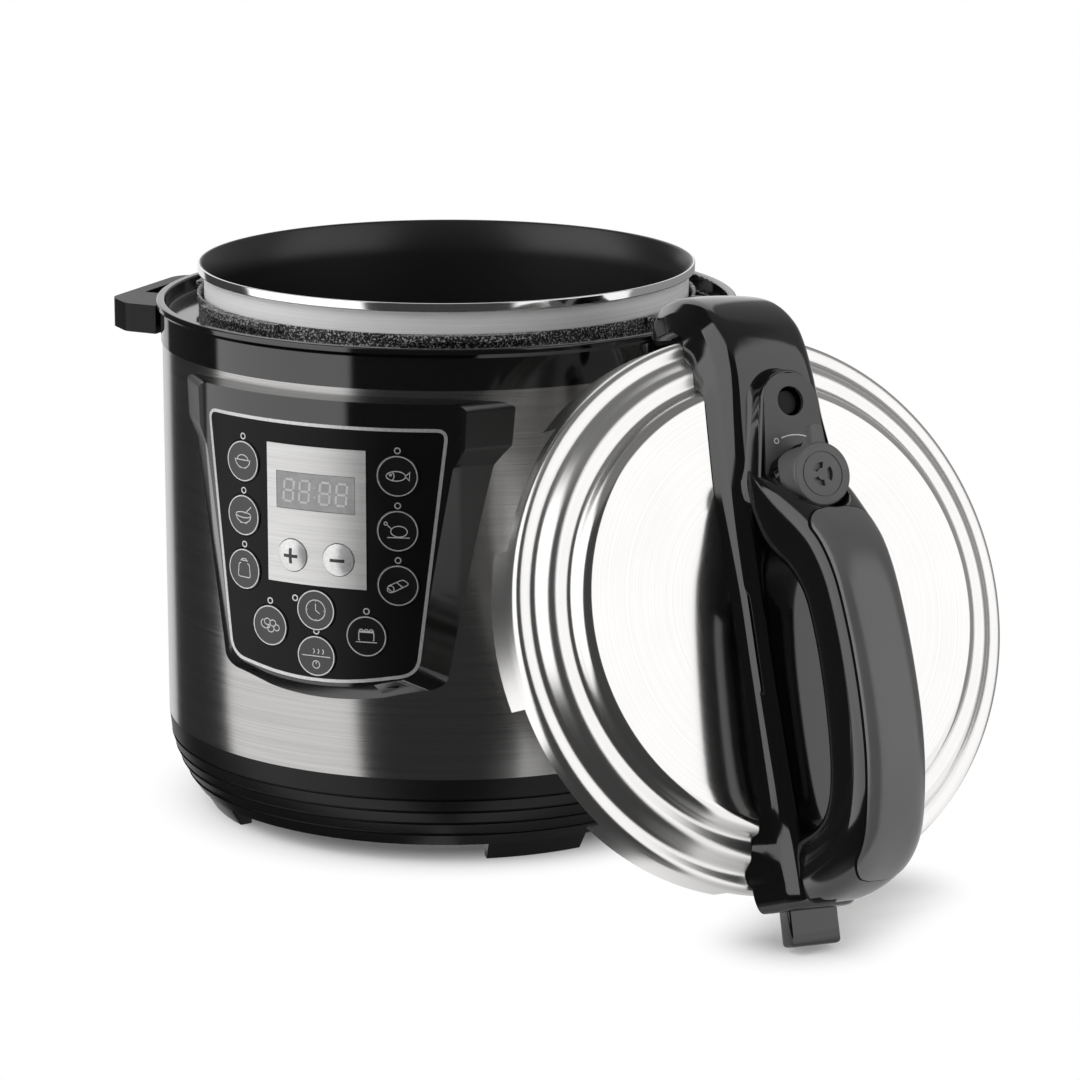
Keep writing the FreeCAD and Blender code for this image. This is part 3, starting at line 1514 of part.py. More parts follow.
def pressure_valve(pose):
    body = new_body("knob")
    corners = [(d.knob_bore, d.knob_bottom), (d.knob_radius, d.knob_bottom)]
    corners.append((d.knob_radius, d.knob_top, d.knob_edge))
    corners.append((0, d.knob_top))
    corners.append((0, d.pipe_top + d.running_gap))
    corners.append((d.knob_bore, d.pipe_top + d.running_gap))
    revolve(body, corners)
    pointer = new_sketch(body, "XY_Plane", d.knob_top - d.pointer_height - d.pointer_drop)
    half = d.pointer_width / 2
    root = d.knob_radius - d.pointer_root
    tip = d.pointer_reach
    draw(pointer, [(-half, root), (half, root), (half, tip, d.pointer_edge), (-half, tip, d.pointer_edge)])
    pad(body, pointer, d.pointer_height)
    # Ring line and vent slots in the top
    above = d.knob_top + d.overrun
    line_edge = d.line_radius + d.line_width
    revolve(body, rectangle(d.line_radius, line_edge, d.knob_top - d.line_depth, above), groove=True)
    slot_floor = d.knob_top - d.vent_ring_depth
    slot = rectangle(d.vent_ring_inner, d.vent_ring_outer, slot_floor, above)
    slot_cut = revolve(body, slot, d.vent_ring_span, groove=True)
    polar(body, [slot_cut], d.vent_ring_count)
    node(body, "pressure_valve", pose * upright(0, d.valve_place.value, 0))


def float_valve(pose):
    body = new_body("float")
    head_low = d.float_head_top - d.float_head_height
    seal_top = crown_at(d.float_place) - d.lid_wall - d.float_travel - d.float_clear
    bottom = seal_top - d.float_seal_height
    corners = [(0, bottom), (d.float_seal_radius, bottom), (d.float_seal_radius, seal_top)]
    corners.append((d.float_stem, seal_top))
    corners.append((d.float_stem, head_low))
    corners.append((d.float_head, head_low))
    corners.append((d.float_head, d.float_head_top, d.float_head_edge))
    corners.append((0, d.float_head_top))
    revolve(body, corners)
    node(body, "float_valve", pose * upright(0, d.float_place.value, 0))


def check_and_write():
    doc.recompute()
    for thing in doc.Objects:
        if "Invalid" in thing.State or "Error" in thing.State:
            raise RuntimeError(f"{thing.Name} did not compute: {thing.State}")
    for thing in nodes:
        if thing.Shape.isNull() or not thing.Shape.isValid():
            raise RuntimeError(f"{thing.Label} has no valid shape")
    os.makedirs("parts", exist_ok=True)
    for thing in nodes:
        thing.Shape.exportStep(f"parts/{thing.Label}.step")
        print(thing.Label, len(thing.Shape.Solids), round(thing.Shape.Volume))


def build():
    pose = lid_pose()
    housing_shell()
    base()
    bottom_cover()
    cover_screws()
    feet()
    power_inlet()
    upper_ring()
    side_handle("side_handle_right", 0)
    side_handle("side_handle_left", 180)
    outer_pot()
    pot_supports()
    inner_pot()
    heating_plate()
    temperature_sensor()
    sensor_bracket()
    pressure_switch()
    power_board()
    panel_bores = key_bores()
    control_panel(panel_bores)
    display(panel_bores)
    key_circuit()
    keys()
    lid_shell(pose)
    sealing_ring(pose)
    handle_holes = valve_bores()
    handle_bridge(pose, lid_envelope(), handle_holes)
    handle_grip(pose, handle_holes)
    grip_inlay(pose)
    dial_plate(pose)
    steam_pipe(pose)
    pressure_valve(pose)
    float_valve(pose)
    check_and_write()


build()
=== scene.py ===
import json
import math
import bpy
import numpy as np
from mathutils import Matrix, Vector


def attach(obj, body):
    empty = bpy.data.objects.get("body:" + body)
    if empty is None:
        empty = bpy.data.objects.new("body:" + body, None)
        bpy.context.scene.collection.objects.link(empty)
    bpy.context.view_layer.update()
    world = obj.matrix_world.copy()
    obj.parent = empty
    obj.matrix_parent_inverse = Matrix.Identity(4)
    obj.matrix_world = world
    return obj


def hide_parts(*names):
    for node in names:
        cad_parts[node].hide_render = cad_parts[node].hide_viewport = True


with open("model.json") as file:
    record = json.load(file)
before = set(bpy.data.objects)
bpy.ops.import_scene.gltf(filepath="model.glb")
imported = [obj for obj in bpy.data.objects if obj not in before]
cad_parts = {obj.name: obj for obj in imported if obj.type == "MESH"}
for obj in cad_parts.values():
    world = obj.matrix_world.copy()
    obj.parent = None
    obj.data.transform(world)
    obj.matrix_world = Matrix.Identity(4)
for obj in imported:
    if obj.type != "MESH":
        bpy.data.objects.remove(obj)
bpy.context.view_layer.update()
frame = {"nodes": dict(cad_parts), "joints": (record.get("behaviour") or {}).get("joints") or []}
nodes = frame["nodes"]
print("frame loaded:", len(nodes), "nodes")

# Places that several pieces share, in millimetres
pot = {"panelRadius": 144.5, "windowTop": 145.0, "keyTop": 145.0, "smallKeyTop": 145.6}
turnJoint = next(joint for joint in frame["joints"] if joint["name"] == "pressure_valve_turn")
lidOut = np.array(turnJoint["axis"], float)
lidUp = np.array((-0.2346, 0.2612, 0.9364))  # along the handle, towards the nose
lidUp = lidUp - lidOut * (lidUp @ lidOut)
lidUp = lidUp / np.linalg.norm(lidUp)
lidAcross = np.cross(lidUp, lidOut)
valveSpot = np.array(turnJoint["pos_m"], float) * 1000  # on the knob's axis, at its lower end
lidPlace = {"valve": 52.7, "knobBottom": 64.2, "dialTop": 63.0, "floatPlace": 88.2}
lidMiddle = valveSpot - lidUp * lidPlace["valve"] - lidOut * lidPlace["knobBottom"]


class Socket:
    # A shader value: arithmetic on it adds Math nodes, and make() adds any other node

    def __init__(self, tree, link=None):
        self.tree = tree
        self.link = link

    def make(self, kind, settings=None, inputs=None, out=0):
        node = self.tree.nodes.new(kind)
        for name, value in (settings or {}).items():
            setattr(node, name, value)
        for name, value in (inputs or {}).items():
            if isinstance(value, Socket):
                self.tree.links.new(value.link, node.inputs[name])
            else:
                node.inputs[name].default_value = value
        return Socket(self.tree, node.outputs[out] if len(node.outputs) else None)

    def calc(self, operation, *others):
        inputs = {number: value for number, value in enumerate((self,) + others)}
        return self.make("ShaderNodeMath", {"operation": operation}, inputs)

    def flipped(self, operation, other):
        return self.make("ShaderNodeMath", {"operation": operation}, {0: other, 1: self})

    def __add__(self, other):
        return self.calc("ADD", other)

    def __radd__(self, other):
        return self.flipped("ADD", other)

    def __sub__(self, other):
        return self.calc("SUBTRACT", other)

    def __rsub__(self, other):
        return self.flipped("SUBTRACT", other)

    def __mul__(self, other):
        return self.calc("MULTIPLY", other)

    def __rmul__(self, other):
        return self.flipped("MULTIPLY", other)

    def __truediv__(self, other):
        return self.calc("DIVIDE", other)

    def __gt__(self, other):
        return self.calc("GREATER_THAN", other)

    def __lt__(self, other):
        return self.calc("LESS_THAN", other)

    def smooth(self, low, high):
        # 0 below low, 1 above high, eased between them
        settings = {"interpolation_type": "SMOOTHSTEP"}
        inputs = {"Value": self, "From Min": low, "From Max": high}
        return self.make("ShaderNodeMapRange", settings, inputs)

    def between(self, low, high, soft):
        return self.smooth(low - soft, low + soft) * (1 - self.smooth(high - soft, high + soft))

    def mixed(self, first, second):
        # Colour from first to second as this value goes from 0 to 1
        return self.make("ShaderNodeMix", {"data_type": "RGBA"}, {0: self, 6: first, 7: second}, 2)

    def dot(self, direction):
        settings = {"operation": "DOT_PRODUCT"}
        return self.make("ShaderNodeVectorMath", settings, {0: self, 1: tuple(direction)}, 1)

    def stretched(self, scale):
        return self.make("ShaderNodeMapping", None, {"Vector": self, "Scale": scale})

    def noise(self, scale, detail=2.0, rough=0.5):
        inputs = {"Vector": self, "Scale": scale, "Detail": detail, "Roughness": rough}
        return self.make("ShaderNodeTexNoise", None, inputs)

    def bump(self, strength, distance):
        inputs = {"Height": self, "Strength": strength, "Distance": distance}
        return self.make("ShaderNodeBump", None, inputs)

    def parts(self):
        return [self.make("ShaderNodeSeparateXYZ", None, {0: self}, axis) for axis in range(3)]


def grey(level, warm=0.0):
    return (level * (1 + warm), level, level * (1 - warm), 1.0)


materials = {}  # by the names given here, as the frame has materials of its own with some of the same names


def newMaterial(name):
    material = materials[name] = bpy.data.materials.new(name)
    material.use_nodes = True
    material.node_tree.nodes.clear()
    start = Socket(material.node_tree)
    return start, start.make("ShaderNodeTexCoord", None, None, 3)


def surface(start, inputs):
    shader = start.make("ShaderNodeBsdfPrincipled", None, inputs)
    start.make("ShaderNodeOutputMaterial", None, {"Surface": shader})


# Rows of numbers as one dictionary each, by the names of the columns
def table(columns, rows):
    return {name: dict(zip(columns.split(), row)) for name, row in rows.items()}


# Moulded black plastic: a little haze in the gloss, and the faint waviness of a moulding
blackLooks = table("dark light rough haze hazeScale grainScale relief depth ior", {
    "gloss_black": (0.0020, 0.0032, 0.075, 0.05, 14.0, 900.0, 0.05, 0.00006, 1.72),
    "satin_black": (0.006, 0.009, 0.40, 0.10, 20.0, 1500.0, 0.20, 0.0001, 1.29),
    "key_black": (0.0045, 0.007, 0.20, 0.06, 60.0, 1200.0, 0.10, 0.00006, 1.6),
    "inlay_grey": (0.085, 0.10, 0.24, 0.08, 25.0, 1800.0, 0.15, 0.00005, 1.65),
    "knob_grey": (0.075, 0.095, 0.38, 0.08, 60.0, 1800.0, 0.25, 0.0001, 1.6),
    "dial_black": (0.045, 0.058, 0.36, 0.08, 60.0, 1800.0, 0.25, 0.0001, 1.6),
    "seam_black": (0.002, 0.003, 0.85, 0.10, 60.0, 1800.0, 0.25, 0.0001, 1.2)})
hazeRange = (0.3, 0.75)
grainRange = (0.3, 0.7)


def blackInputs(place, look):
    haze = place.noise(look["hazeScale"], 3.0)
    relief = place.noise(look["grainScale"], 2.0).bump(look["relief"], look["depth"])
    colour = haze.smooth(*hazeRange).mixed(grey(look["dark"]), grey(look["light"]))
    gloss = look["rough"] + (haze - 0.5) * look["haze"]
    return {"Base Color": colour, "Roughness": gloss, "Normal": relief, "IOR": look["ior"]}


for blackName, blackLook in blackLooks.items():
    blackStart, blackPlace = newMaterial(blackName)
    surface(blackStart, blackInputs(blackPlace, blackLook))

# Control panel: gloss black outside the silver line and a satin film inside it, by place on the round face
panelLook = {"top": 212.0, "topHalf": 62.5, "low": 97.5, "lowHalf": 48.5, "dip": 90.5, "edge": 0.4,
             "sides": (66.0, 70.0), "sideRough": 0.24}
filmLook = {"dark": 0.0035, "light": 0.00525, "rough": 0.36, "haze": 0.1, "hazeScale": 14.0,
            "grainScale": 2200.0, "relief": 0.2, "depth": 0.00005, "ior": 1.24}


def makePanelBlack(name, look):
    start, place = newMaterial(name)
    x, y, z = place.parts()
    arc = (x.calc("ARCTAN2", y * -1.0) * pot["panelRadius"]).calc("ABSOLUTE")
    height = z * 1000.0
    gloss = blackInputs(place, blackLooks["gloss_black"])
    gloss["Roughness"] = gloss["Roughness"] + arc.smooth(*look["sides"]) * look["sideRough"]
    shiny = start.make("ShaderNodeBsdfPrincipled", None, gloss)
    satin = start.make("ShaderNodeBsdfPrincipled", None, blackInputs(place, filmLook))
    slope = (look["topHalf"] - look["lowHalf"]) / (look["top"] - look["low"])
    beside = look["topHalf"] - (look["top"] - height) * slope - arc
    above = height - look["dip"] - arc * ((look["low"] - look["dip"]) / look["lowHalf"])
    below = look["top"] - height
    inside = beside.calc("MINIMUM", above).calc("MINIMUM", below).smooth(0.0, look["edge"])
    whole = start.make("ShaderNodeMixShader", None, {0: inside, 1: shiny, 2: satin})
    start.make("ShaderNodeOutputMaterial", None, {"Surface": whole})


makePanelBlack("panel_black", panelLook)

# Steel brushed in long strokes: noise squeezed across the strokes, in colour, gloss and relief
metalLooks = table("strokes dark light warm rough spread relief depth metal", {
    "brushed_steel": ((9.0, 9.0, 1400.0), 0.34, 0.43, 0.012, 0.18, 0.10, 0.30, 0.00006, 1.0),
    "silver_plate": ((24.0, 24.0, 2200.0), 0.50, 0.62, 0.008, 0.38, 0.18, 0.14, 0.00005, 0.9),
    "plated_steel": ((90.0, 700.0, 700.0), 0.46, 0.60, 0.01, 0.34, 0.2, 0.12, 0.00005, 1.0),
    "cast_aluminium": ((300.0, 300.0, 300.0), 0.48, 0.62, 0.0, 0.45, 0.25, 0.35, 0.0002, 1.0)})
streak = {"broad": 0.22, "fineShare": 0.7}


def makeBrushedMetal(name, look):
    start, place = newMaterial(name)
    fine = place.stretched(look["strokes"]).noise(1.0, 4.0, 0.65)
    broad = place.stretched(tuple(s * streak["broad"] for s in look["strokes"])).noise(1.0, 2.0)
    mark = fine * streak["fineShare"] + broad * (1 - streak["fineShare"])
    pale, dark = grey(look["light"], look["warm"]), grey(look["dark"], look["warm"])
    gloss = look["rough"] + (mark - 0.5) * look["spread"]
    surface(start, {"Base Color": mark.smooth(*grainRange).mixed(dark, pale), "Roughness": gloss,
                    "Normal": fine.bump(look["relief"], look["depth"]), "Metallic": look["metal"]})


for metalName, metalLook in metalLooks.items():
    makeBrushedMetal(metalName, metalLook)
print("plastics and brushed metals made")

# Polished lid: fine turning marks round its middle, from noise over the distance to the lid's axis
lidLook = {"rings": 900.0, "cloud": 30.0, "ringShare": 0.6, "dark": 0.74, "light": 0.79, "warm": 0.014,
           "rough": 0.09, "spread": 0.05, "steps": (0.098, 0.103), "stepRough": 0.15, "relief": 0.02,
           "depth": 0.00003}


def makeTurnedSteel(name, look):
    start, place = newMaterial(name)
    middle = lidMiddle / 1000
    across = place.dot(lidAcross) - float(middle @ lidAcross)
    up = place.dot(lidUp) - float(middle @ lidUp)
    radius = (across * across + up * up).calc("SQRT")
    rings = start.make("ShaderNodeTexNoise", {"noise_dimensions": "1D"},
                       {"W": radius * look["rings"], "Scale": 1.0, "Detail": 3.0})
    mark = rings * look["ringShare"] + place.noise(look["cloud"], 3.0) * (1 - look["ringShare"])
    pale, dark = grey(look["light"], look["warm"]), grey(look["dark"], look["warm"])
    gloss = look["rough"] + (mark - 0.5) * look["spread"] + radius.smooth(*look["steps"]) * look["stepRough"]
    surface(start, {"Base Color": mark.smooth(*grainRange).mixed(dark, pale), "Roughness": gloss,
                    "Normal": rings.bump(look["relief"], look["depth"]), "Metallic": 1.0})


makeTurnedSteel("polished_lid", lidLook)

# Inner pot: dark coat inside and over the rim, a bright rolled edge, satin metal outside
innerLook = {"coatEdge": (0.1187, 0.1193), "wall": (0.1164, 0.1168), "rimLow": 0.2617, "bottom": 0.100,
             "bottomSkin": 0.001, "corner": 0.014, "coat": 0.012, "coatSpeck": 0.022, "specks": 1800.0,
             "speckRange": (0.62, 0.72), "speckRough": 0.06, "coatRough": 0.34, "relief": 0.12, "depth": 0.00005,
             "spun": (6.0, 6.0, 1200.0), "satin": 0.93, "satinDark": 0.88, "satinRough": 0.5,
             "satinSpread": 0.15, "satinMetal": 0.12, "edge": 0.80, "edgeRough": 0.10}


def makePottedMetal(name, look):
    start, place = newMaterial(name)
    x, y, z = place.parts()
    radius = (x * x + y * y).calc("SQRT")
    outside = radius.smooth(*look["coatEdge"])
    # The outside wall turns in to the bottom by a round corner
    low = 1 - ((z - look["bottom"]) / look["corner"]).calc("MAXIMUM", 0.0).calc("MINIMUM", 1.0)
    wall = (radius + low * low * look["corner"]).smooth(*look["wall"]) * (z < look["rimLow"])
    bare = outside.calc("MAXIMUM", wall).calc("MAXIMUM", z < look["bottom"] + look["bottomSkin"])
    onEdge = outside * (z > look["rimLow"])
    speck = place.noise(look["specks"], 2.0, 0.7).smooth(*look["speckRange"])
    coat = speck.mixed(grey(look["coat"]), grey(look["coatSpeck"]))
    spun = place.stretched(look["spun"]).noise(1.0, 4.0, 0.6)
    satin = spun.smooth(*grainRange).mixed(grey(look["satin"] * look["satinDark"]), grey(look["satin"]))
    colour = bare.mixed(coat, onEdge.mixed(satin, grey(look["edge"])))
    metalGloss = look["satinRough"] + (spun - 0.5) * look["satinSpread"]
    metalGloss = metalGloss + onEdge * (look["edgeRough"] - look["satinRough"])
    gloss = look["coatRough"] + speck * look["speckRough"] + bare * (metalGloss - look["coatRough"])
    relief = (speck * (1 - bare)).bump(look["relief"], look["depth"])
    metallic = bare * look["satinMetal"] + onEdge * (1 - look["satinMetal"])
    surface(start, {"Base Color": colour, "Roughness": gloss, "Metallic": metallic, "Normal": relief})


makePottedMetal("inner_pot_metal", innerLook)

# Outer pot: a rough black coat with bright specks where the grain shows through
flangeLook = {"grain": 1000.0, "speckRange": (0.52, 0.62), "dark": 0.010, "speck": 0.75, "relief": 0.7,
              "depth": 0.0004, "rough": 0.42, "speckGloss": 0.12, "speckMetal": 0.5}


def makeSpeckledCoat(name, look):
    start, place = newMaterial(name)
    grain = place.noise(look["grain"], 3.0, 0.7)
    speck = grain.smooth(*look["speckRange"])
    surface(start, {"Base Color": speck.mixed(grey(look["dark"]), grey(look["speck"])),
                    "Roughness": look["rough"] - speck * look["speckGloss"],
                    "Normal": grain.bump(look["relief"], look["depth"]), "Metallic": speck * look["speckMetal"]})


makeSpeckledCoat("speckled_black", flangeLook)

# Small plain finishes, where one noise sets colour, gloss and relief
plainLooks = table("scale dark light rough spread relief metal", {
    "window_grey": (300.0, (0.27, 0.27, 0.275), (0.32, 0.32, 0.325), 0.16, 0.06, 0.03, 0.0),
    "digit_pale": (500.0, (0.46, 0.46, 0.46), (0.54, 0.54, 0.54), 0.3, 0.1, 0.03, 0.0),
    "silver_ink": (900.0, (0.50, 0.50, 0.50), (0.62, 0.62, 0.61), 0.34, 0.15, 0.1, 0.6),
    "grey_ink": (900.0, (0.50, 0.50, 0.50), (0.60, 0.60, 0.60), 0.42, 0.15, 0.1, 0.5),
    "dark_ink": (900.0, (0.018, 0.018, 0.02), (0.03, 0.03, 0.032), 0.4, 0.1, 0.1, 0.0),
    "silver_key": (600.0, (0.62, 0.62, 0.62), (0.72, 0.72, 0.71), 0.30, 0.1, 0.06, 0.55),
    "silicone": (120.0, (0.66, 0.66, 0.64), (0.76, 0.76, 0.74), 0.5, 0.1, 0.1, 0.0),
    "brass": (400.0, (0.62, 0.47, 0.22), (0.74, 0.58, 0.30), 0.3, 0.15, 0.1, 1.0),
    "board_green": (200.0, (0.012, 0.085, 0.040), (0.020, 0.125, 0.060), 0.42, 0.15, 0.15, 0.0)})
plainDepth = 0.00005


def makePlainFinish(name, look):
    start, place = newMaterial(name)
    cloud = place.noise(look["scale"], 3.0)
    surface(start, {"Base Color": cloud.smooth(*grainRange).mixed((*look["dark"], 1.0), (*look["light"], 1.0)),
                    "Roughness": look["rough"] + (cloud - 0.5) * look["spread"],
                    "Normal": cloud.bump(look["relief"], plainDepth), "Metallic": look["metal"]})


for plainName, plainLook in plainLooks.items():
    makePlainFinish(plainName, plainLook)
print("materials made:", len(bpy.data.materials))

# Finish of each CAD node, and gloss black for the rest
finishes = {
    "brushed_steel": "housing_shell",
    "satin_black": "base foot_rear_right foot_rear_left foot_front_left foot_front_right board_posts "
                   "pressure_switch power_inlet float_valve side_handle_left side_handle_right",
    "key_black": "key_left_1 key_left_2 key_left_3 key_right_1 key_right_2 key_right_3 key_low_left "
                 "key_low_right key_centre_high key_centre_low",
    "silver_key": "key_plus key_minus",
    "panel_black": "control_panel",
    "silver_plate": "display_plate",
    "window_grey": "display_window display_module",
    "polished_lid": "lid_shell",
    "inner_pot_metal": "inner_pot",
    "speckled_black": "outer_pot",
    "inlay_grey": "grip_inlay",
    "knob_grey": "pressure_valve",
    "dial_black": "dial_plate",
    "plated_steel": "bottom_cover cover_screws sensor_spring sensor_bracket pot_supports key_domes "
                    "seal_carrier strainer_cap",
    "cast_aluminium": "heating_plate temperature_sensor",
    "silicone": "sealing_ring",
    "brass": "steam_pipe",
    "board_green": "power_board key_circuit"}
for thing in nodes.values():
    thing.data.materials.clear()
    thing.data.materials.append(materials["gloss_black"])
for finish, names in finishes.items():
    for name in names.split():
        nodes[name].data.materials[0] = materials[finish]
print("CAD nodes finished")
sharpAngle = 50.0


# A mesh from grids of points, rows by columns: the columns close round, and the rows too where asked
def gridMesh(name, grids, finish, body, closeRows=False, smooth=False):
    points = []
    faces = []
    offset = 0
    for grid in grids:
        rows, columns = grid.shape[:2]
        numbers = np.arange(rows * columns).reshape(rows, columns) + offset
        if closeRows:
            numbers = np.concatenate([numbers, numbers[:1]], 0)
        numbers = np.concatenate([numbers, numbers[:, :1]], 1)
        corners = (numbers[:-1, :-1], numbers[1:, :-1], numbers[1:, 1:], numbers[:-1, 1:])
        faces.append(np.stack(corners, -1).reshape(-1, 4))
        points.append(grid.reshape(-1, 3))
        offset += rows * columns
    mesh = bpy.data.meshes.new(name)
    mesh.from_pydata(np.concatenate(points) / 1000, [], np.concatenate(faces).tolist())
    mesh.materials.append(materials[finish])
    mesh.polygons.foreach_set("use_smooth", np.full(len(mesh.polygons), smooth))
    mesh.update()
    if smooth:
        mesh.set_sharp_from_angle(angle=math.radians(sharpAngle))
    piece = bpy.data.objects.new(name, mesh)
    bpy.context.scene.collection.objects.link(piece)
    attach(piece, body)
    return piece


# Where a flat drawing lies: on the panel's round face, on a key's flat top, or on the dial plate
def onPanel(radius):
    def place(flat, lift):
        angle = flat[..., 0] / pot["panelRadius"]
        reach = radius + lift
        return np.stack([reach * np.sin(angle), -reach * np.cos(angle), flat[..., 1] + 0 * lift], -1)
    return place


def onFlat(middle, sideways, upward, outward):
    def place(flat, lift):
        lift = np.broadcast_to(lift, flat.shape[:-1])
        return middle + flat[..., :1] * sideways + flat[..., 1:] * upward + lift[..., None] * outward
    return place


def onKey(arc, height, top):
    angle = arc / pot["panelRadius"]
    outward = np.array((math.sin(angle), -math.cos(angle), 0.0))
    sideways = np.array((math.cos(angle), math.sin(angle), 0.0))
    upright = np.array((0.0, 0.0, 1.0))
    return onFlat(outward * top + upright * height, sideways, upright, outward)


onDial = onFlat(lidMiddle + lidOut * lidPlace["dialTop"], lidAcross, lidUp, lidOut)


def unit(ways):
    return ways / np.linalg.norm(ways, axis=-1, keepdims=True)


def wholeTurn(count):
    return np.linspace(0, 2 * math.pi, count, endpoint=False)[None, :]


def capped(grid):
    # Both ends of a tube or strip drawn in to their middles
    first = np.repeat(grid[:1].mean(1, keepdims=True), grid.shape[1], 1)
    last = np.repeat(grid[-1:].mean(1, keepdims=True), grid.shape[1], 1)
    return np.concatenate([first, grid, last], 0)


# A line of ink: the path's points moved half a width to each side, raised a little, with its edges let into
# the surface
def inkLine(path, width, place, closed, proud=0.10, sunk=0.08):
    path = np.asarray(path, float)
    if closed:
        ahead = np.roll(path, -1, 0) - path
        behind = path - np.roll(path, 1, 0)
    else:
        ahead = np.diff(path, axis=0, append=path[-1:] * 2 - path[-2:-1])
        behind = np.diff(path, axis=0, prepend=path[:1] * 2 - path[1:2])
    ahead = unit(ahead)
    run = unit(ahead + unit(behind))
    side = np.stack([-run[:, 1], run[:, 0]], 1)
    mitre = 1 / np.clip((side * np.stack([-ahead[:, 1], ahead[:, 0]], 1)).sum(1, keepdims=True), 0.5, 1.0)
    reach = side * mitre * width / 2
    flat = np.stack([path - reach, path - reach, path + reach, path + reach], 1)
    lift = np.broadcast_to(np.array((-sunk, proud, proud, -sunk)), flat.shape[:2])
    return place(flat, lift) if closed else capped(place(flat, lift))


def arcPath(x, y, radius, start, end, count=24, squash=1.0):
    angles = np.radians(np.linspace(start, end, count))
    return np.stack([x + radius * np.cos(angles), y + radius * squash * np.sin(angles)], 1)


def circlePath(x, y, radius, count=48, squash=1.0):
    return arcPath(x, y, radius, 0.0, 360.0 * (count - 1) / count, count, squash)


# Rounded corners: each becomes a quadratic curve between points at a reach along its two edges
def cornerCurves(spots, before, after, reach, count):
    start = spots + unit(before - spots) * reach
    end = spots + unit(after - spots) * reach
    t = np.linspace(0, 1, count)[None, :, None]
    curve = start[:, None] * (1 - t) ** 2 + 2 * spots[:, None] * t * (1 - t) + end[:, None] * t ** 2
    return curve.reshape(-1, 2)


def roundedPath(corners, reach, count=10):
    corners = np.asarray(corners, float)
    reach = np.broadcast_to(np.asarray(reach, float), len(corners))[:, None]
    return cornerCurves(corners, np.roll(corners, 1, 0), np.roll(corners, -1, 0), reach, count)


def softProfile(corners, count=9):
    corners = np.asarray(corners, float)
    spots = corners[:, :2]
    curve = cornerCurves(spots[1:-1], spots[:-2], spots[2:], corners[1:-1, 2:], count)
    return np.concatenate([spots[:1], curve, spots[-1:]])


# Long straight runs of a path cut into short steps, so that it bends with a round face
def stepped(path, step, closed=True):
    path = np.asarray(path, float)
    ends = np.roll(path, -1, 0) if closed else path[1:]
    starts = path if closed else path[:-1]
    lengths = np.linalg.norm(ends - starts, axis=1)
    counts = np.maximum(1, np.ceil(lengths / step).astype(int))
    which = np.repeat(np.arange(len(counts)), counts)
    share = (np.arange(len(which)) - np.repeat(np.cumsum(counts) - counts, counts)) / counts[which]
    points = starts[which] + (ends - starts)[which] * share[:, None]
    return points if closed else np.concatenate([points, path[-1:]], 0)


# A smooth run through rows of values: each stretch is a cubic set by the four nearest rows
def smoothPath(knots, count):
    knots = np.asarray(knots, float)
    padded = np.concatenate([2 * knots[:1] - knots[1:2], knots, 2 * knots[-1:] - knots[-2:-1]])
    place = np.linspace(0, len(knots) - 1, count)
    start = np.minimum(place.astype(int), len(knots) - 2)
    t = (place - start)[:, None]
    a, b, c, d = (padded[start + step] for step in range(4))
    return 0.5 * (2 * b + (c - a) * t + (2 * a - 5 * b + 4 * c - d) * t ** 2 + (3 * b - a - 3 * c + d) * t ** 3)


# Points given across the lid, along its handle and out from it, set in the lid's place
def onLid(across, along, out):
    across, along, out = np.broadcast_arrays(across, along, out)
    return lidMiddle + across[..., None] * lidAcross + along[..., None] * lidUp + out[..., None] * lidOut


# Bridge over the lid: rows of top (along, out), bottom (along, out), half width of the top and of the foot
bridge = {
    "rows": [(-133.5, 43.0, -133.5, 27.0, 9.0, 19.0), (-132.5, 46.5, -133.0, 24.8, 11.0, 22.0),
             (-129.0, 49.0, -129.0, 24.2, 12.5, 24.0), (-122.0, 49.5, -122.0, 24.2, 13.0, 25.0),
             (-112.0, 49.5, -112.0, 30.2, 13.5, 27.0), (-87.0, 49.5, -87.0, 40.0, 14.9, 25.5),
             (-57.0, 49.5, -57.0, 41.0, 16.6, 26.5), (-27.0, 49.5, -27.0, 42.0, 18.3, 28.0),
             (3.0, 49.8, 3.0, 42.2, 19.5, 29.5), (32.0, 51.2, 32.0, 41.9, 21.0, 30.5),
             (54.0, 52.4, 54.0, 41.4, 21.6, 31.0), (78.0, 52.8, 78.0, 40.0, 21.2, 30.0),
             (96.0, 52.4, 95.0, 38.6, 20.0, 29.0), (106.0, 51.4, 104.0, 32.0, 19.4, 28.5),
             (116.0, 49.0, 112.0, 30.2, 19.2, 28.0), (125.0, 44.8, 118.5, 22.4, 19.2, 27.5),
             (132.2, 38.2, 123.0, 22.0, 19.2, 27.2), (138.2, 29.8, 127.0, 17.0, 19.0, 26.8),
             (142.6, 19.6, 128.6, 10.0, 18.4, 26.2), (145.2, 8.2, 129.0, 3.0, 17.6, 25.2),
             (146.0, -3.0, 129.0, -5.0, 16.4, 23.8), (145.8, -11.5, 129.2, -12.0, 15.0, 22.0),
             (143.8, -16.5, 130.5, -16.8, 13.0, 20.0)],
    "count": 132, "crown": 0.7, "edge": 5.5, "drop": 8.5, "dropShare": 0.6, "footRound": 0.8,
    "rail": [(0.0, 0.0), (-0.25, 1.0), (-1.0, 2.0)],  # aside from the edge, up from the wall
    "shoulder": [(2.2, -2.6), (0.7, -1.1), (-0.6, -0.35), (-2.0, -0.05)],  # the same from the top's edge
    "back": [(1.0, -5.0, 0.4), (0.4, 0.0, 0.85), (0.0, 0.0, 1.0)],  # share of the width, aside, crown
    "onSteps": 121.0, "sunk": 0.3, "clear": 0.8, "clearShare": 0.8, "tab": (-149.2, -118.0, 12.8, 24.1, 32.9),
    "heel": (0.2, 19.8, 129.1, 136.9, -31.9, 4.0), "corner": 1.6}


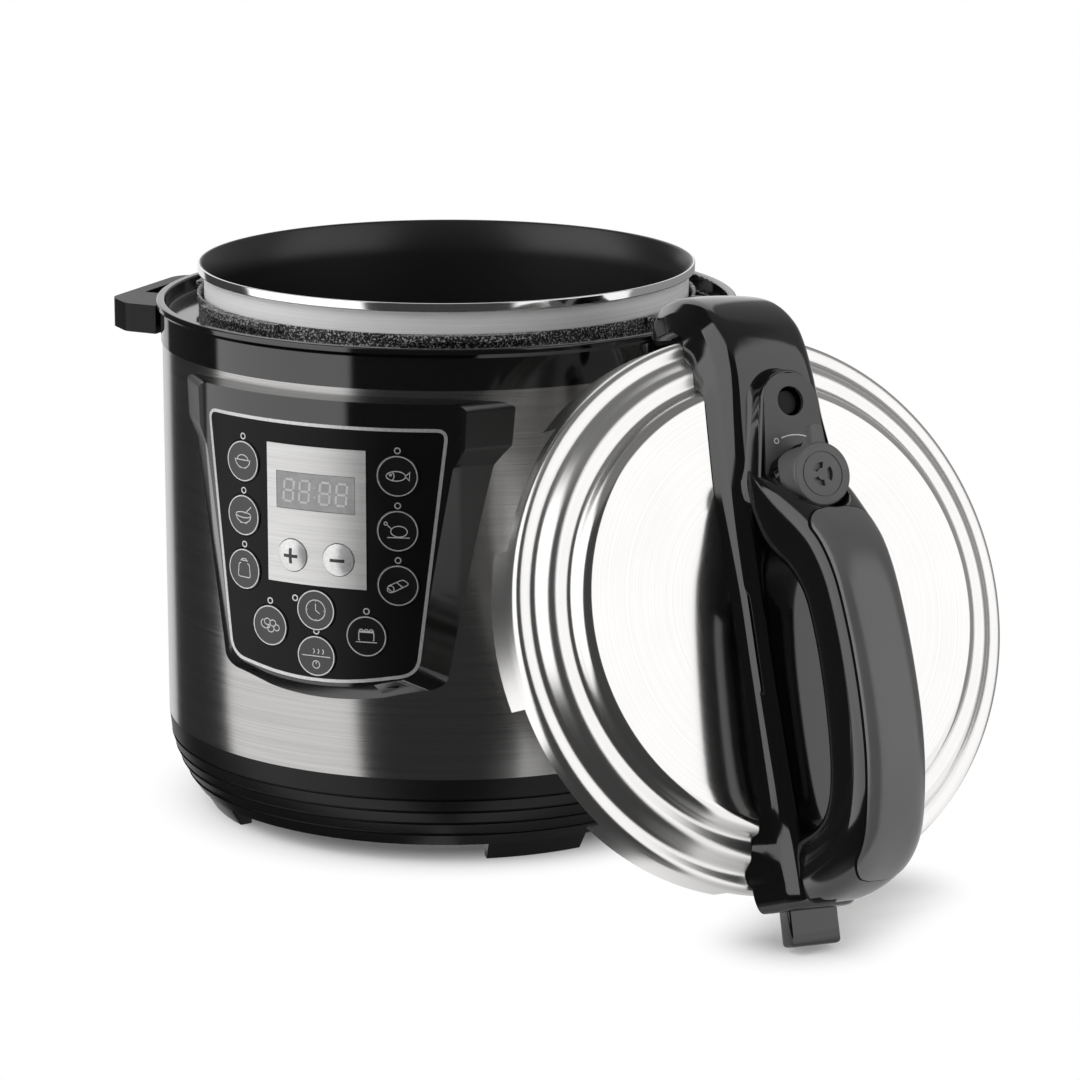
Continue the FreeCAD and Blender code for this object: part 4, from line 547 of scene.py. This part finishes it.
# Block with round edges: a rounded rectangle drawn along one line, a little smaller at both ends
def softBlock(low, high, corner):
    (x0, y0, z0), (x1, y1, z1) = low, high
    outline = roundedPath([(x0, y0), (x1, y0), (x1, y1), (x0, y1)], corner, 6)
    middle = np.array(((x0 + x1) / 2, (y0 + y1) / 2))
    rows = np.array((z0, z0 + corner * 0.35, z0 + corner, z1 - corner, z1 - corner * 0.35, z1))
    inset = np.array((corner, corner * 0.3, 0.0, 0.0, corner * 0.3, corner))
    half = np.array(((x1 - x0) / 2, (y1 - y0) / 2))
    flat = middle + (outline - middle)[None] * (1 - inset[:, None, None] / half)
    return capped(np.concatenate([flat, np.broadcast_to(rows[:, None, None], flat.shape[:2] + (1,))], -1))


def makeBridge():
    b = bridge
    rows = smoothPath(b["rows"], b["count"])
    top, bottom, wide, foot = rows[:, None, 0:2], rows[:, None, 2:4], rows[:, 4:5], rows[:, 5:6]
    tall = np.linalg.norm(top - bottom, axis=-1)
    drop = np.minimum(b["drop"], tall * b["dropShare"])
    edge, wall, zero = wide + b["edge"], tall - drop, 0 * tall
    # Half of the section from the middle of its foot, up its wall and rounded shoulder, to the middle of its top
    side = [0 * wide, foot * 0.5, foot - b["footRound"], foot, (foot + edge) / 2]
    rise = [zero, zero, zero, zero + b["footRound"], wall / 2]
    side += [edge + aside for aside, up in b["rail"]] + [wide + aside for aside, up in b["shoulder"]]
    rise += [wall + up for aside, up in b["rail"]] + [tall + up for aside, up in b["shoulder"]]
    side = np.concatenate(side + [wide * share + aside for share, aside, up in b["back"]], 1)
    rise = np.concatenate(rise + [tall + b["crown"] * up for share, aside, up in b["back"]], 1)
    across = np.concatenate([side, -side[:, -2:0:-1]], 1)
    rise = np.concatenate([rise, rise[:, -2:0:-1]], 1)
    way = (top - bottom) / tall[..., None]
    spot = bottom + way * rise[..., None]
    along, out = spot[..., 0], spot[..., 1]
    # The foot follows the lid's steps, let into its wall at the edges and clear of it in the middle
    steps = softProfile(lidShape["outside"])
    onSteps = (rise <= b["footRound"]) & (np.abs(along) < b["onSteps"])
    clear = np.where(np.abs(across) < foot * b["clearShare"], b["clear"], -b["sunk"])
    onLidHere = np.interp(np.hypot(across, along), steps[:-1, 0], steps[:-1, 1]) + clear + rise
    out = np.where(onSteps, onLidHere, out)
    body = capped(onLid(across, along, out))
    x0, x1, half, low, high = b["tab"]
    tab = softBlock((-half, low, x0), (half, high, x1), b["corner"])
    v0, v1, u0, u1, n0, n1 = b["heel"]
    heel = softBlock((v0, u0, n0), (v1, u1, n1), b["corner"])
    grids = [body, onLid(tab[..., 0], tab[..., 2], tab[..., 1]), onLid(heel[..., 0], heel[..., 1], heel[..., 2])]
    piece = gridMesh("handle_bridge_form", grids, "gloss_black", "lid", smooth=True)
    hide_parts("handle_bridge")


# Arched grip: rows of back (along, out), inside (along, out) and half width; its section is a rounded oval
arch = {
    "rows": [(60.0, 56.0, 58.0, 50.0, 20.5), (55.0, 66.0, 48.0, 50.0, 22.0), (48.5, 76.0, 37.0, 51.0, 22.0),
             (40.5, 86.0, 27.0, 53.0, 20.8), (32.0, 95.0, 19.0, 59.0, 19.4), (21.0, 103.6, 12.0, 68.0, 18.4),
             (5.0, 110.2, 0.0, 76.5, 17.6), (-17.0, 114.8, -18.0, 80.5, 17.3), (-37.0, 117.2, -37.0, 82.0, 17.2),
             (-57.0, 118.0, -56.0, 82.0, 17.2), (-76.0, 116.6, -72.0, 80.5, 17.1),
             (-94.0, 112.6, -84.5, 77.0, 17.0), (-108.5, 107.0, -92.0, 71.5, 16.8),
             (-119.0, 97.0, -96.0, 65.0, 16.4), (-126.5, 81.5, -98.0, 58.5, 15.8),
             (-131.0, 63.0, -99.0, 52.5, 15.2), (-132.0, 46.0, -100.0, 44.0, 14.2)],
    "count": 120, "round": 3.6, "around": 64, "well": 15.8, "wellFrom": 61.0}
# Head under the valves, a closed ring: rows of radius round the knob, radius round the float valve, and height
head = {"rows": [(22.8, 17.4, 51.0), (21.5, 16.0, 52.9), (20.8, 15.1, 55.5), (20.3, 14.4, 60.0),
                 (20.1, 14.1, 61.8), (19.8, 13.7, 62.8), (19.4, 13.1, 63.0), (19.3, 12.85, 62.9),
                 (19.3, 12.85, 60.8), (15.0, 10.5, 60.8), (15.0, 10.5, 46.5), (22.8, 17.4, 46.5)], "around": 96}


# A point on the grip: share along it, and how far across, from -1 to 1 on its back
def gripPoint(rows, across, front):
    back, inside, half = rows[..., 0:2], rows[..., 2:4], rows[..., 4]
    power = arch["round"]
    rise = (1 - np.minimum(np.abs(across), 1.0) ** power) ** (1 / power)
    middle = (back + inside) / 2
    spot = middle + (back - middle) * (rise * front)[..., None]
    across, along, out = across * half, spot[..., 0], spot[..., 1]
    # Round the knob the grip keeps clear of a well
    gap = along - lidPlace["valve"]
    reach = np.maximum(np.hypot(across, gap), 0.001)
    push = np.where(out > arch["wellFrom"], np.maximum(arch["well"] / reach, 1.0), 1.0)
    return across * push, lidPlace["valve"] + gap * push, out


def makeGrip():
    rows = smoothPath(arch["rows"], arch["count"])[:, None, :]
    angle = wholeTurn(arch["around"])
    power = 2 / arch["round"]
    across = np.sign(np.cos(angle)) * np.abs(np.cos(angle)) ** power
    front = np.where(np.sin(angle) >= 0, 1.0, -1.0)
    body = capped(onLid(*gripPoint(rows, across + 0 * rows[..., 0], front)))[:, ::-1]
    # Outline of the head: two circles and the lines that touch both, by the direction of its wall
    h = np.array(head["rows"])[:, None, :]
    turn = wholeTurn(head["around"]) + 0.001
    spread = lidPlace["floatPlace"] - lidPlace["valve"]
    high = np.sin(turn) > (h[..., 0] - h[..., 1]) / spread
    radius = np.where(high, h[..., 1], h[..., 0])
    middle = np.where(high, lidPlace["floatPlace"], lidPlace["valve"])
    ring = onLid(radius * np.cos(turn), middle + radius * np.sin(turn), h[..., 2] + 0 * turn)
    ring = np.concatenate([ring, ring[:1]], 0)
    piece = gridMesh("handle_grip_form", [body, ring], "gloss_black", "lid", smooth=True)
    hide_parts("handle_grip")


# Inlay let into the grip's back, with round ends, and the dark seam round it: patches of the grip's own
# surface, raised
inlay = {"first": 0.215, "last": 0.855, "half": 0.845, "proud": 0.40}
seam = {"first": 0.2115, "last": 0.8585, "half": 0.885, "proud": 0.12}
patch = {"round": 0.06, "endShare": 0.30, "deep": 1.2, "rows": 110, "columns": 29, "fine": 2400}


def gripPatch(look):
    share = np.linspace(look["first"], look["last"], patch["rows"])
    spots = np.round(share * patch["fine"]).astype(int)
    rows = smoothPath(arch["rows"], patch["fine"] + 1)[spots][:, None, :]
    fromEnd = np.minimum(share - look["first"], look["last"] - share)
    bend = np.clip(1 - fromEnd / patch["round"], 0, 1)
    half = look["half"] * (patch["endShare"] + (1 - patch["endShare"]) * np.sqrt(1 - bend ** 2))
    across = np.linspace(-1, 1, patch["columns"])[None, :] * half[:, None]
    way = unit(rows[..., 0:2] - rows[..., 2:4])
    grids = []
    for lift in (look["proud"], -patch["deep"]):
        moved = rows.copy()
        moved[..., 0:2] = rows[..., 0:2] + way * lift
        grids.append(onLid(*gripPoint(moved, across, 1.0)))
    return capped(np.concatenate([grids[0], grids[1][:, ::-1]], 1))


def makeInlay():
    piece = gridMesh("grip_inlay_form", [gripPatch(inlay)], "inlay_grey", "lid", smooth=True)
    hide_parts("grip_inlay")
    gridMesh("grip_inlay_seam", [gripPatch(seam)], "seam_black", "lid", smooth=True)


# Lid: a profile of radius, height and the reach of its rounded corner, turned round the lid's axis, with six
# tabs under its skirt
lidShape = {
    "outside": [(0.0, 42.5, 0.0), (60.0, 41.5, 30.0), (100.6, 38.6, 5.0), (103.6, 30.6, 2.6),
                (112.4, 30.6, 3.6), (117.6, 22.6, 2.6), (126.0, 22.6, 4.0), (126.0, 12.6, 0.0)],
    "inside": [(124.9, 12.6, 0.0), (124.9, 21.5, 3.0), (117.0, 21.5, 3.0), (111.8, 29.5, 3.0),
               (102.8, 29.5, 2.6), (99.8, 37.6, 4.6), (60.0, 40.4, 30.0), (0.0, 41.4, 0.0)],
    "around": 240, "tabs": 6, "tabSpan": 32.0, "tabSteps": 14, "tab": (124.85, 125.95, 0.05, 13.4)}


def turned(profile, count):
    turn = wholeTurn(count)
    return profile[:, :1] * np.cos(turn), profile[:, :1] * np.sin(turn), profile[:, 1:] + 0 * turn


def makeLid():
    profile = np.concatenate([softProfile(lidShape["outside"]), softProfile(lidShape["inside"])])
    grids = [onLid(*turned(profile, lidShape["around"]))]
    inner, outer, low, high = lidShape["tab"]
    half = lidShape["tabSpan"] / 2
    for number in range(lidShape["tabs"]):
        arc = np.linspace(-half, half, lidShape["tabSteps"]) + number * 360 / lidShape["tabs"]
        arc = np.radians(arc)[:, None]
        section = np.array(((inner, low), (inner, high), (outer, high), (outer, low)))
        radius, height = section[None, :, 0], section[None, :, 1]
        grids.append(capped(onLid(radius * np.cos(arc), radius * np.sin(arc), height)))
    piece = gridMesh("lid_form", grids, "polished_lid", "lid", smooth=True)
    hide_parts("lid_shell")


# Inner pot: a profile of radius, height and the reach of its rounded corner, turned round the pot's axis, with
# a flared lip and a rolled rim
potShape = {
    "inside": [(0.0, 102.0, 0.0), (112.6, 102.0, 16.0), (112.6, 256.6, 8.0), (118.2, 265.9, 1.2),
               (120.0, 265.9, 0.5)],
    "outside": [(120.0, 264.6, 0.0), (120.0, 261.8, 0.6), (117.0, 261.8, 0.8), (117.0, 100.05, 14.0),
                (0.0, 100.05, 0.0)],
    "around": 240}


def makeInnerPot():
    outside = softProfile(potShape["outside"])
    inside = softProfile(potShape["inside"] + potShape["outside"][:1])
    profile = np.concatenate([inside, outside[1:]])[::-1]
    grid = np.stack(turned(profile, potShape["around"]), -1)
    piece = gridMesh("inner_pot_form", [grid], "inner_pot_metal", "inner_pot", smooth=True)
    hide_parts("inner_pot")


makeInnerPot()
makeLid()
makeBridge()
makeGrip()
makeInlay()
print("lid handle made")

frameLine = {"top": 212.0, "topHalf": 62.5, "lowHalf": 48.5, "low": 97.5, "dip": 89.5, "width": 1.55,
             "corners": (5.0, 8.0, 30.0, 8.0, 5.0), "step": 3.0, "proud": 0.14}


def makeFrameLine():
    f = frameLine
    corners = [(-f["topHalf"], f["top"]), (-f["lowHalf"], f["low"]), (0.0, f["dip"]), (f["lowHalf"], f["low"]),
               (f["topHalf"], f["top"])]
    path = stepped(roundedPath(corners, f["corners"]), f["step"])
    grid = inkLine(path, f["width"], onPanel(pot["panelRadius"]), True, f["proud"])
    gridMesh("panel_frame_line", [grid], "silver_ink", "pot", closeRows=True)


makeFrameLine()

keyPlaces = {"key_left_1": (-39.8, 190.7), "key_left_2": (-39.8, 165.1), "key_left_3": (-39.8, 139.5),
             "key_right_1": (39.8, 190.7), "key_right_2": (39.8, 165.1), "key_right_3": (39.8, 139.5),
             "key_low_left": (-24.8, 114.8), "key_low_right": (24.8, 114.8), "key_centre_high": (0.0, 125.1),
             "key_centre_low": (0.0, 103.3)}
keyRing = {"radius": 9.15, "width": 0.5, "proud": 0.08, "around": 72}
lampRing = {"radius": 1.3, "width": 0.55, "rise": 11.75, "side": (-10.9, 4.6), "proud": 0.10, "around": 28}

# Simple kitchen pictures, drawn in millimetres round the middle of a key
pictures = {
    "key_left_1": [arcPath(0, 0.6, 4.2, 180, 360, 24, 0.85), [(-4.6, 0.6), (4.6, 0.6)],
                   arcPath(0, 0.6, 3.2, 0, 180, 18, 0.7), [(-1.8, -3.0), (1.8, -3.0)]],
    "key_left_2": [arcPath(0, 0.2, 4.4, 180, 360, 24, 0.8), circlePath(0, 0.2, 4.4, 36, 0.28),
                   [(0.8, 0.8), (4.6, 4.2)], [(-2.0, -3.4), (2.0, -3.4)]],
    "key_left_3": [roundedPath([(-3.0, 2.6), (-3.6, -3.6), (3.6, -3.6), (3.0, 2.6)], 1.2),
                   [(-2.2, 3.8), (2.2, 3.8)], [(-1.2, 3.8), (-1.2, 4.6), (1.2, 4.6), (1.2, 3.8)]],
    "key_right_1": [circlePath(-0.6, 0.0, 4.2, 36, 0.5), [(3.4, 0.0), (5.4, 1.8), (5.2, -1.8), (3.4, 0.0)],
                    circlePath(-3.0, 0.5, 0.45, 10), arcPath(-3.6, 0.0, 2.2, -50, 50, 10)],
    "key_right_2": [circlePath(0.6, -0.2, 3.6, 36, 0.66), [(-2.6, 0.8), (-4.8, 2.8)],
                    circlePath(-5.2, 3.2, 0.7, 12), [(-4.6, -2.9), (5.2, -2.9)]],
    "key_right_3": [roundedPath([(-5.0, -0.6), (2.2, 2.8), (5.0, 0.8), (-2.4, -3.2)], 1.4),
                    circlePath(-3.2, -1.7, 1.5, 20, 1.0), [(-0.4, 1.2), (2.0, -0.6)]],
    "key_low_left": [arcPath(-2.2, 0.6, 2.6, 120, 330, 20, 0.8), circlePath(1.6, 1.2, 1.6, 20, 0.9),
                     circlePath(-1.4, 1.6, 1.6, 20, 0.9), circlePath(3.6, -0.6, 1.5, 20, 0.9),
                     circlePath(0.4, -1.4, 1.7, 20, 0.9)],
    "key_low_right": [roundedPath([(-3.4, -1.8), (-3.4, 1.8), (3.4, 1.8), (3.4, -1.8)], 0.5),
                      [(-4.8, -2.6), (4.8, -2.6)], arcPath(-2.3, 2.2, 0.9, 0, 180, 10),
                      arcPath(0, 2.2, 0.9, 0, 180, 10), arcPath(2.3, 2.2, 0.9, 0, 180, 10)],
    "key_centre_high": [circlePath(0, 0, 4.6, 40), [(0, 2.9), (0, 0), (1.9, -1.4)], [(0, 3.9), (0, 4.6)],
                        [(0, -3.9), (0, -4.6)], [(3.9, 0), (4.6, 0)], [(-3.9, 0), (-4.6, 0)]],
    "key_centre_low": [[(-6.8, 0), (6.8, 0)], arcPath(-2.0, 2.2, 1.2, -60, 60, 10),
                       arcPath(0.2, 2.2, 1.2, -60, 60, 10), arcPath(2.4, 2.2, 1.2, -60, 60, 10),
                       circlePath(0, -3.8, 1.7, 24), [(0, -2.1), (0, -3.6)]],
}
pictureLine = {"width": 0.42, "proud": 0.07, "scale": 1.06, "fewest": 10, "gapSteps": 2.5, "gap": 2.0}


def isClosed(path):
    # A whole circle or rounded outline ends one step before its start
    if len(path) < pictureLine["fewest"]:
        return False
    step = np.linalg.norm(path[1] - path[0])
    return np.linalg.norm(path[0] - path[-1]) < max(pictureLine["gapSteps"] * step, pictureLine["gap"])


def makeKeyMarks():
    for name, (arc, height) in keyPlaces.items():
        place = onKey(arc, height, pot["keyTop"])
        circle = circlePath(0, 0, keyRing["radius"], keyRing["around"])
        ring = inkLine(circle, keyRing["width"], place, True, keyRing["proud"])
        gridMesh(name + "_ring", [ring], "silver_ink", name, closeRows=True)
        closedLines = []
        openLines = []
        for path in pictures[name]:
            path = np.asarray(path, float) * pictureLine["scale"]
            closed = isClosed(path)
            line = inkLine(path, pictureLine["width"], place, closed, pictureLine["proud"])
            (closedLines if closed else openLines).append(line)
        if closedLines:
            gridMesh(name + "_picture", closedLines, "grey_ink", name, closeRows=True)
        if openLines:
            gridMesh(name + "_strokes", openLines, "grey_ink", name)


def makeLampRings():
    rings = []
    for name, (arc, height) in keyPlaces.items():
        side, rise = lampRing["side"] if name == "key_centre_high" else (0.0, lampRing["rise"])
        path = circlePath(arc + side, height + rise, lampRing["radius"], lampRing["around"])
        rings.append(inkLine(path, lampRing["width"], onPanel(pot["panelRadius"]), True, lampRing["proud"]))
    gridMesh("lamp_rings", rings, "silver_ink", "pot", closeRows=True)


makeKeyMarks()
makeLampRings()
print("key marks made")

# Clock digits: seven bars each, with two dots in the middle
digits = {"middle": 180.5, "height": 10.2, "wide": 5.0, "places": (-13.4, -5.2, 5.2, 13.4), "bar": 1.05,
          "gap": 0.55, "slant": 0.08, "step": 1.2, "dot": 0.7, "dotWide": 0.84, "dotRise": 2.2, "proud": 0.05}


def makeDigits():
    half = digits["height"] / 2
    side = digits["wide"] / 2
    gap = digits["gap"]
    bars = [((-side + gap, level), (side - gap, level)) for level in (half, 0.0, -half)]
    for low, high in ((gap, half - gap), (-half + gap, -gap)):
        bars += [((edge, low), (edge, high)) for edge in (-side, side)]
    place = onPanel(pot["windowTop"])
    lines = []
    for middle in digits["places"]:
        for bar in bars:
            path = stepped(bar, digits["step"], False)
            shift = path[:, 1] * digits["slant"] + middle
            path = path + np.stack([shift, np.full(len(path), digits["middle"])], 1)
            lines.append(inkLine(path, digits["bar"], place, False, digits["proud"]))
    for rise in (-digits["dotRise"], digits["dotRise"]):
        path = np.array([(-digits["dot"] / 2, 0.0), (digits["dot"] / 2, 0.0)]) + (0.0, digits["middle"] + rise)
        lines.append(inkLine(path, digits["dotWide"], place, False, digits["proud"]))
    gridMesh("display_digits", lines, "digit_pale", "pot")


makeDigits()

# Domed caps of the plus and minus keys: a cap of a ball over the key's flat top, and a bar or a cross that
# follows it
smallKeys = {"radius": 7.5, "rise": 1.5, "plus": -11.7, "minus": 11.7, "height": 150.0, "bar": 1.5, "half": 3.6,
             "rows": 14, "around": 64, "above": 0.02, "skirt": 0.5, "barSteps": 15, "proud": 0.12, "sunk": 0.1}


def domeHeight(radius):
    ball = (smallKeys["radius"] ** 2 + smallKeys["rise"] ** 2) / (2 * smallKeys["rise"])
    return np.sqrt(np.maximum(ball ** 2 - radius ** 2, 0)) - (ball - smallKeys["rise"])


def makeSmallKeys():
    k = smallKeys
    for name, arc in (("key_plus", k["plus"]), ("key_minus", k["minus"])):
        place = onKey(arc, k["height"], pot["smallKeyTop"])
        radius = np.linspace(0.0, 1.0, k["rows"])[:, None] * k["radius"]
        angle = wholeTurn(k["around"])
        flat = np.stack([radius * np.cos(angle), radius * np.sin(angle)], -1)
        cap = place(flat, domeHeight(radius) + 0 * angle + k["above"])
        skirt = place(flat[-1:], np.full((1, k["around"]), -k["skirt"]))
        gridMesh(name + "_cap", [np.concatenate([cap, skirt], 0)], "silver_key", name, smooth=True)

        def onDome(spot, lift):
            return place(spot, lift + domeHeight(np.hypot(spot[..., 0], spot[..., 1])))

        along = np.linspace(-k["half"], k["half"], k["barSteps"])
        bars = [np.stack([along, 0 * along], 1)]
        if name == "key_plus":
            bars.append(np.stack([0 * along, along], 1))
        lines = [inkLine(bar, k["bar"], onDome, False, k["proud"], k["sunk"]) for bar in bars]
        gridMesh(name + "_sign", lines, "dark_ink", name)


makeSmallKeys()

# Marks on the dial plate: a curved line between two small rings round the knob
dialMarks = {"radius": 20.4, "start": 62.0, "end": 118.0, "gap": 8.0, "width": 0.5, "ring": 1.1, "ringSteps": 20,
             "proud": 0.08}


def makeDialMarks():
    d = dialMarks
    turn = arcPath(0, lidPlace["valve"], d["radius"], d["start"] + d["gap"], d["end"] - d["gap"])
    lines = [inkLine(turn, d["width"], onDial, False, d["proud"])]
    rings = []
    for angle in (d["start"], d["end"]):
        spot = arcPath(0, lidPlace["valve"], d["radius"], angle, angle, 1)[0]
        circle = circlePath(spot[0], spot[1], d["ring"], d["ringSteps"])
        rings.append(inkLine(circle, d["width"], onDial, True, d["proud"]))
    gridMesh("dial_line", lines, "grey_ink", "lid")
    gridMesh("dial_rings", rings, "grey_ink", "lid", closeRows=True)


makeDialMarks()
print("display, small keys and dial marks made")

# Soft studio round the object, by bearing from the camera's side: pale boxes to the left, right and behind, and
# dark screens where the camera stands and behind the left box; each zone from, to and level
studio = {"camera": 24.8, "left": (-104.0, -38.5, 1.55), "right": (31.0, 93.0, 1.28),
          "backLeft": (-150.0, -104.0, 0.06), "backRight": (93.0, 172.0, 0.32), "front": (-38.5, 31.0, 0.06),
          "behind": 1.0, "top": (0.75, 0.85), "topLevel": 0.2, "soft": 1.6}


def studioLevel(x, y, inset=0.0):
    turn = math.radians(studio["camera"])
    sideways = x * math.cos(turn) + y * math.sin(turn)
    ahead = x * math.sin(turn) - y * math.cos(turn)
    bearing = sideways.calc("ARCTAN2", ahead)
    if inset:
        # A place on the floor is taken by its bearing from the part of the housing that mirrors it
        half = bearing * 0.5
        bearing = (sideways - half.calc("SINE") * inset).calc("ARCTAN2", ahead - half.calc("COSINE") * inset)
    bearing = bearing * (180 / math.pi)
    level = 0.0
    covered = 0.0
    for name in ("left", "right", "backLeft", "backRight", "front"):
        low, high, strength = studio[name]
        zone = bearing.between(low, high, studio["soft"])
        level = level + zone * strength
        covered = covered + zone
    return level + (1 - covered.calc("MINIMUM", 1.0)) * studio["behind"]


# Plain pale floor: it keeps the shadow near the object and turns white away from it; mirrored, it shows the
# studio's sides
floorLook = {"size": 60.0, "albedo": 0.90, "lift": 0.06, "pot": (0.098, 0.152), "foot": (0.240, -0.152),
             "tail": (0.246, -0.065), "footFade": 0.048, "mirrored": 0.9, "inset": 0.1375, "close": 0.5,
             "closeFade": 0.12}


def makeFloor(look):
    size = look["size"] / 2
    mesh = bpy.data.meshes.new("floor")
    corners = [(-size, -size, 0), (size, -size, 0), (size, size, 0), (-size, size, 0)]
    mesh.from_pydata(corners, [], [(0, 1, 2, 3)])
    floor = bpy.data.objects.new("floor", mesh)
    bpy.context.scene.collection.objects.link(floor)
    start, place = newMaterial("pale_floor")
    mesh.materials.append(materials["pale_floor"])
    x, y, z = place.parts()
    # White beyond the pot's base, and beyond a line on the floor from the lid's foot to under its grip
    footX, footY = look["foot"]
    runX, runY = look["tail"][0] - footX, look["tail"][1] - footY
    dx = x - footX
    dy = y - footY
    share = ((dx * runX + dy * runY) / (runX * runX + runY * runY)).calc("MAXIMUM", 0.0).calc("MINIMUM", 1.0)
    dx = dx - share * runX
    dy = dy - share * runY
    toPot = (x * x + y * y).calc("SQRT")
    toFoot = (dx * dx + dy * dy).calc("SQRT")
    away = toPot.smooth(*look["pot"]).calc("MINIMUM", toFoot.smooth(0.0, look["footFade"]))
    seen = start.make("ShaderNodeLightPath", None, None, 0)
    mirrored = start.make("ShaderNodeLightPath", None, None, 3)
    matt = start.make("ShaderNodeBsdfDiffuse", None, {"Color": grey(look["albedo"])})
    glow = start.make("ShaderNodeEmission", None, {"Color": seen * look["lift"], "Strength": 1.0})
    near = start.make("ShaderNodeAddShader", None, {0: matt, 1: glow})
    white = start.make("ShaderNodeEmission", None, {"Color": grey(1.0), "Strength": 1.0})
    direct = start.make("ShaderNodeMixShader", None, {0: seen * away, 1: near, 2: white})
    level = studioLevel(x, y, look["inset"]) * look["mirrored"]
    # Round the lid's foot the floor seen in reflections is held at a middle grey instead of the studio's level:
    # painted shade for the shaded floor there
    close = 1 - toFoot.smooth(0.0, look["closeFade"])
    level = level + close * (look["close"] - level)
    sides = start.make("ShaderNodeEmission", None, {"Color": level, "Strength": 1.0})
    whole = start.make("ShaderNodeMixShader", None, {0: mirrored, 1: direct, 2: sides})
    start.make("ShaderNodeOutputMaterial", None, {"Surface": whole})


def makeStudio():
    world = bpy.data.worlds.new("studio")
    bpy.context.scene.world = world
    world.use_nodes = True
    world.node_tree.nodes.clear()
    start = Socket(world.node_tree)
    x, y, z = start.make("ShaderNodeTexCoord", None, None, 0).parts()
    sides = studioLevel(x, y)
    level = sides + z.smooth(*studio["top"]) * (studio["topLevel"] - sides)
    seen = start.make("ShaderNodeLightPath", None, None, 0)
    strength = level + seen * (1.0 - level)
    light = start.make("ShaderNodeBackground", None, {"Color": strength, "Strength": 1.0})
    start.make("ShaderNodeOutputWorld", None, {"Surface": light})


# One soft lamp from above and in front, for the shadow under the base
keyLamp = {"place": (-0.9, -1.2, 1.9), "aim": (0.05, -0.05, 0.1), "size": 1.4, "power": 22.0}


def makeLamp():
    lamp = bpy.data.lights.new("key", "AREA")
    lamp.shape = "SQUARE"
    lamp.size = keyLamp["size"]
    lamp.energy = keyLamp["power"]
    thing = bpy.data.objects.new("key", lamp)
    thing.location = keyLamp["place"]
    way = Vector(keyLamp["aim"]) - Vector(keyLamp["place"])
    thing.rotation_euler = way.to_track_quat("-Z", "Y").to_euler()
    thing.visible_glossy = False
    bpy.context.scene.collection.objects.link(thing)


# The photograph's view: a long lens, above and to the right of the panel
view = {"distance": 1.9844, "bearing": 24.8, "height": 0.6063, "pitch": 13.60, "yaw": 1.309, "roll": 0.10,
        "focal": 4157.87, "wide": 1080, "sensor": 36.0, "far": 100.0}


def makeCamera():
    turn = math.radians(view["bearing"])
    yaw = math.radians(view["yaw"])
    pitch = math.radians(view["pitch"])
    roll = math.radians(view["roll"])
    ahead = Vector((-math.sin(turn), math.cos(turn), 0))
    aside = Vector((math.cos(turn), math.sin(turn), 0))
    heading = ahead * math.cos(yaw) + aside * math.sin(yaw)
    look = heading * math.cos(pitch) - Vector((0, 0, 1)) * math.sin(pitch)
    right = look.cross(Vector((0, 0, 1))).normalized()
    up = right.cross(look)
    right, up = right * math.cos(roll) + up * math.sin(roll), up * math.cos(roll) - right * math.sin(roll)
    lens = bpy.data.cameras.new("camera")
    lens.sensor_width = view["sensor"]
    lens.lens = view["focal"] / view["wide"] * view["sensor"]
    lens.clip_end = view["far"]
    camera = bpy.data.objects.new("camera", lens)
    turnTo = Matrix((right, up, -look)).transposed().to_4x4()
    spot = Vector((view["distance"] * math.sin(turn), -view["distance"] * math.cos(turn), view["height"]))
    camera.matrix_world = Matrix.Translation(spot) @ turnTo
    bpy.context.scene.collection.objects.link(camera)
    bpy.context.scene.camera = camera


makeFloor(floorLook)
makeStudio()
makeLamp()
makeCamera()
bpy.context.scene.view_settings.view_transform = "Standard"
print("floor, studio and camera made")
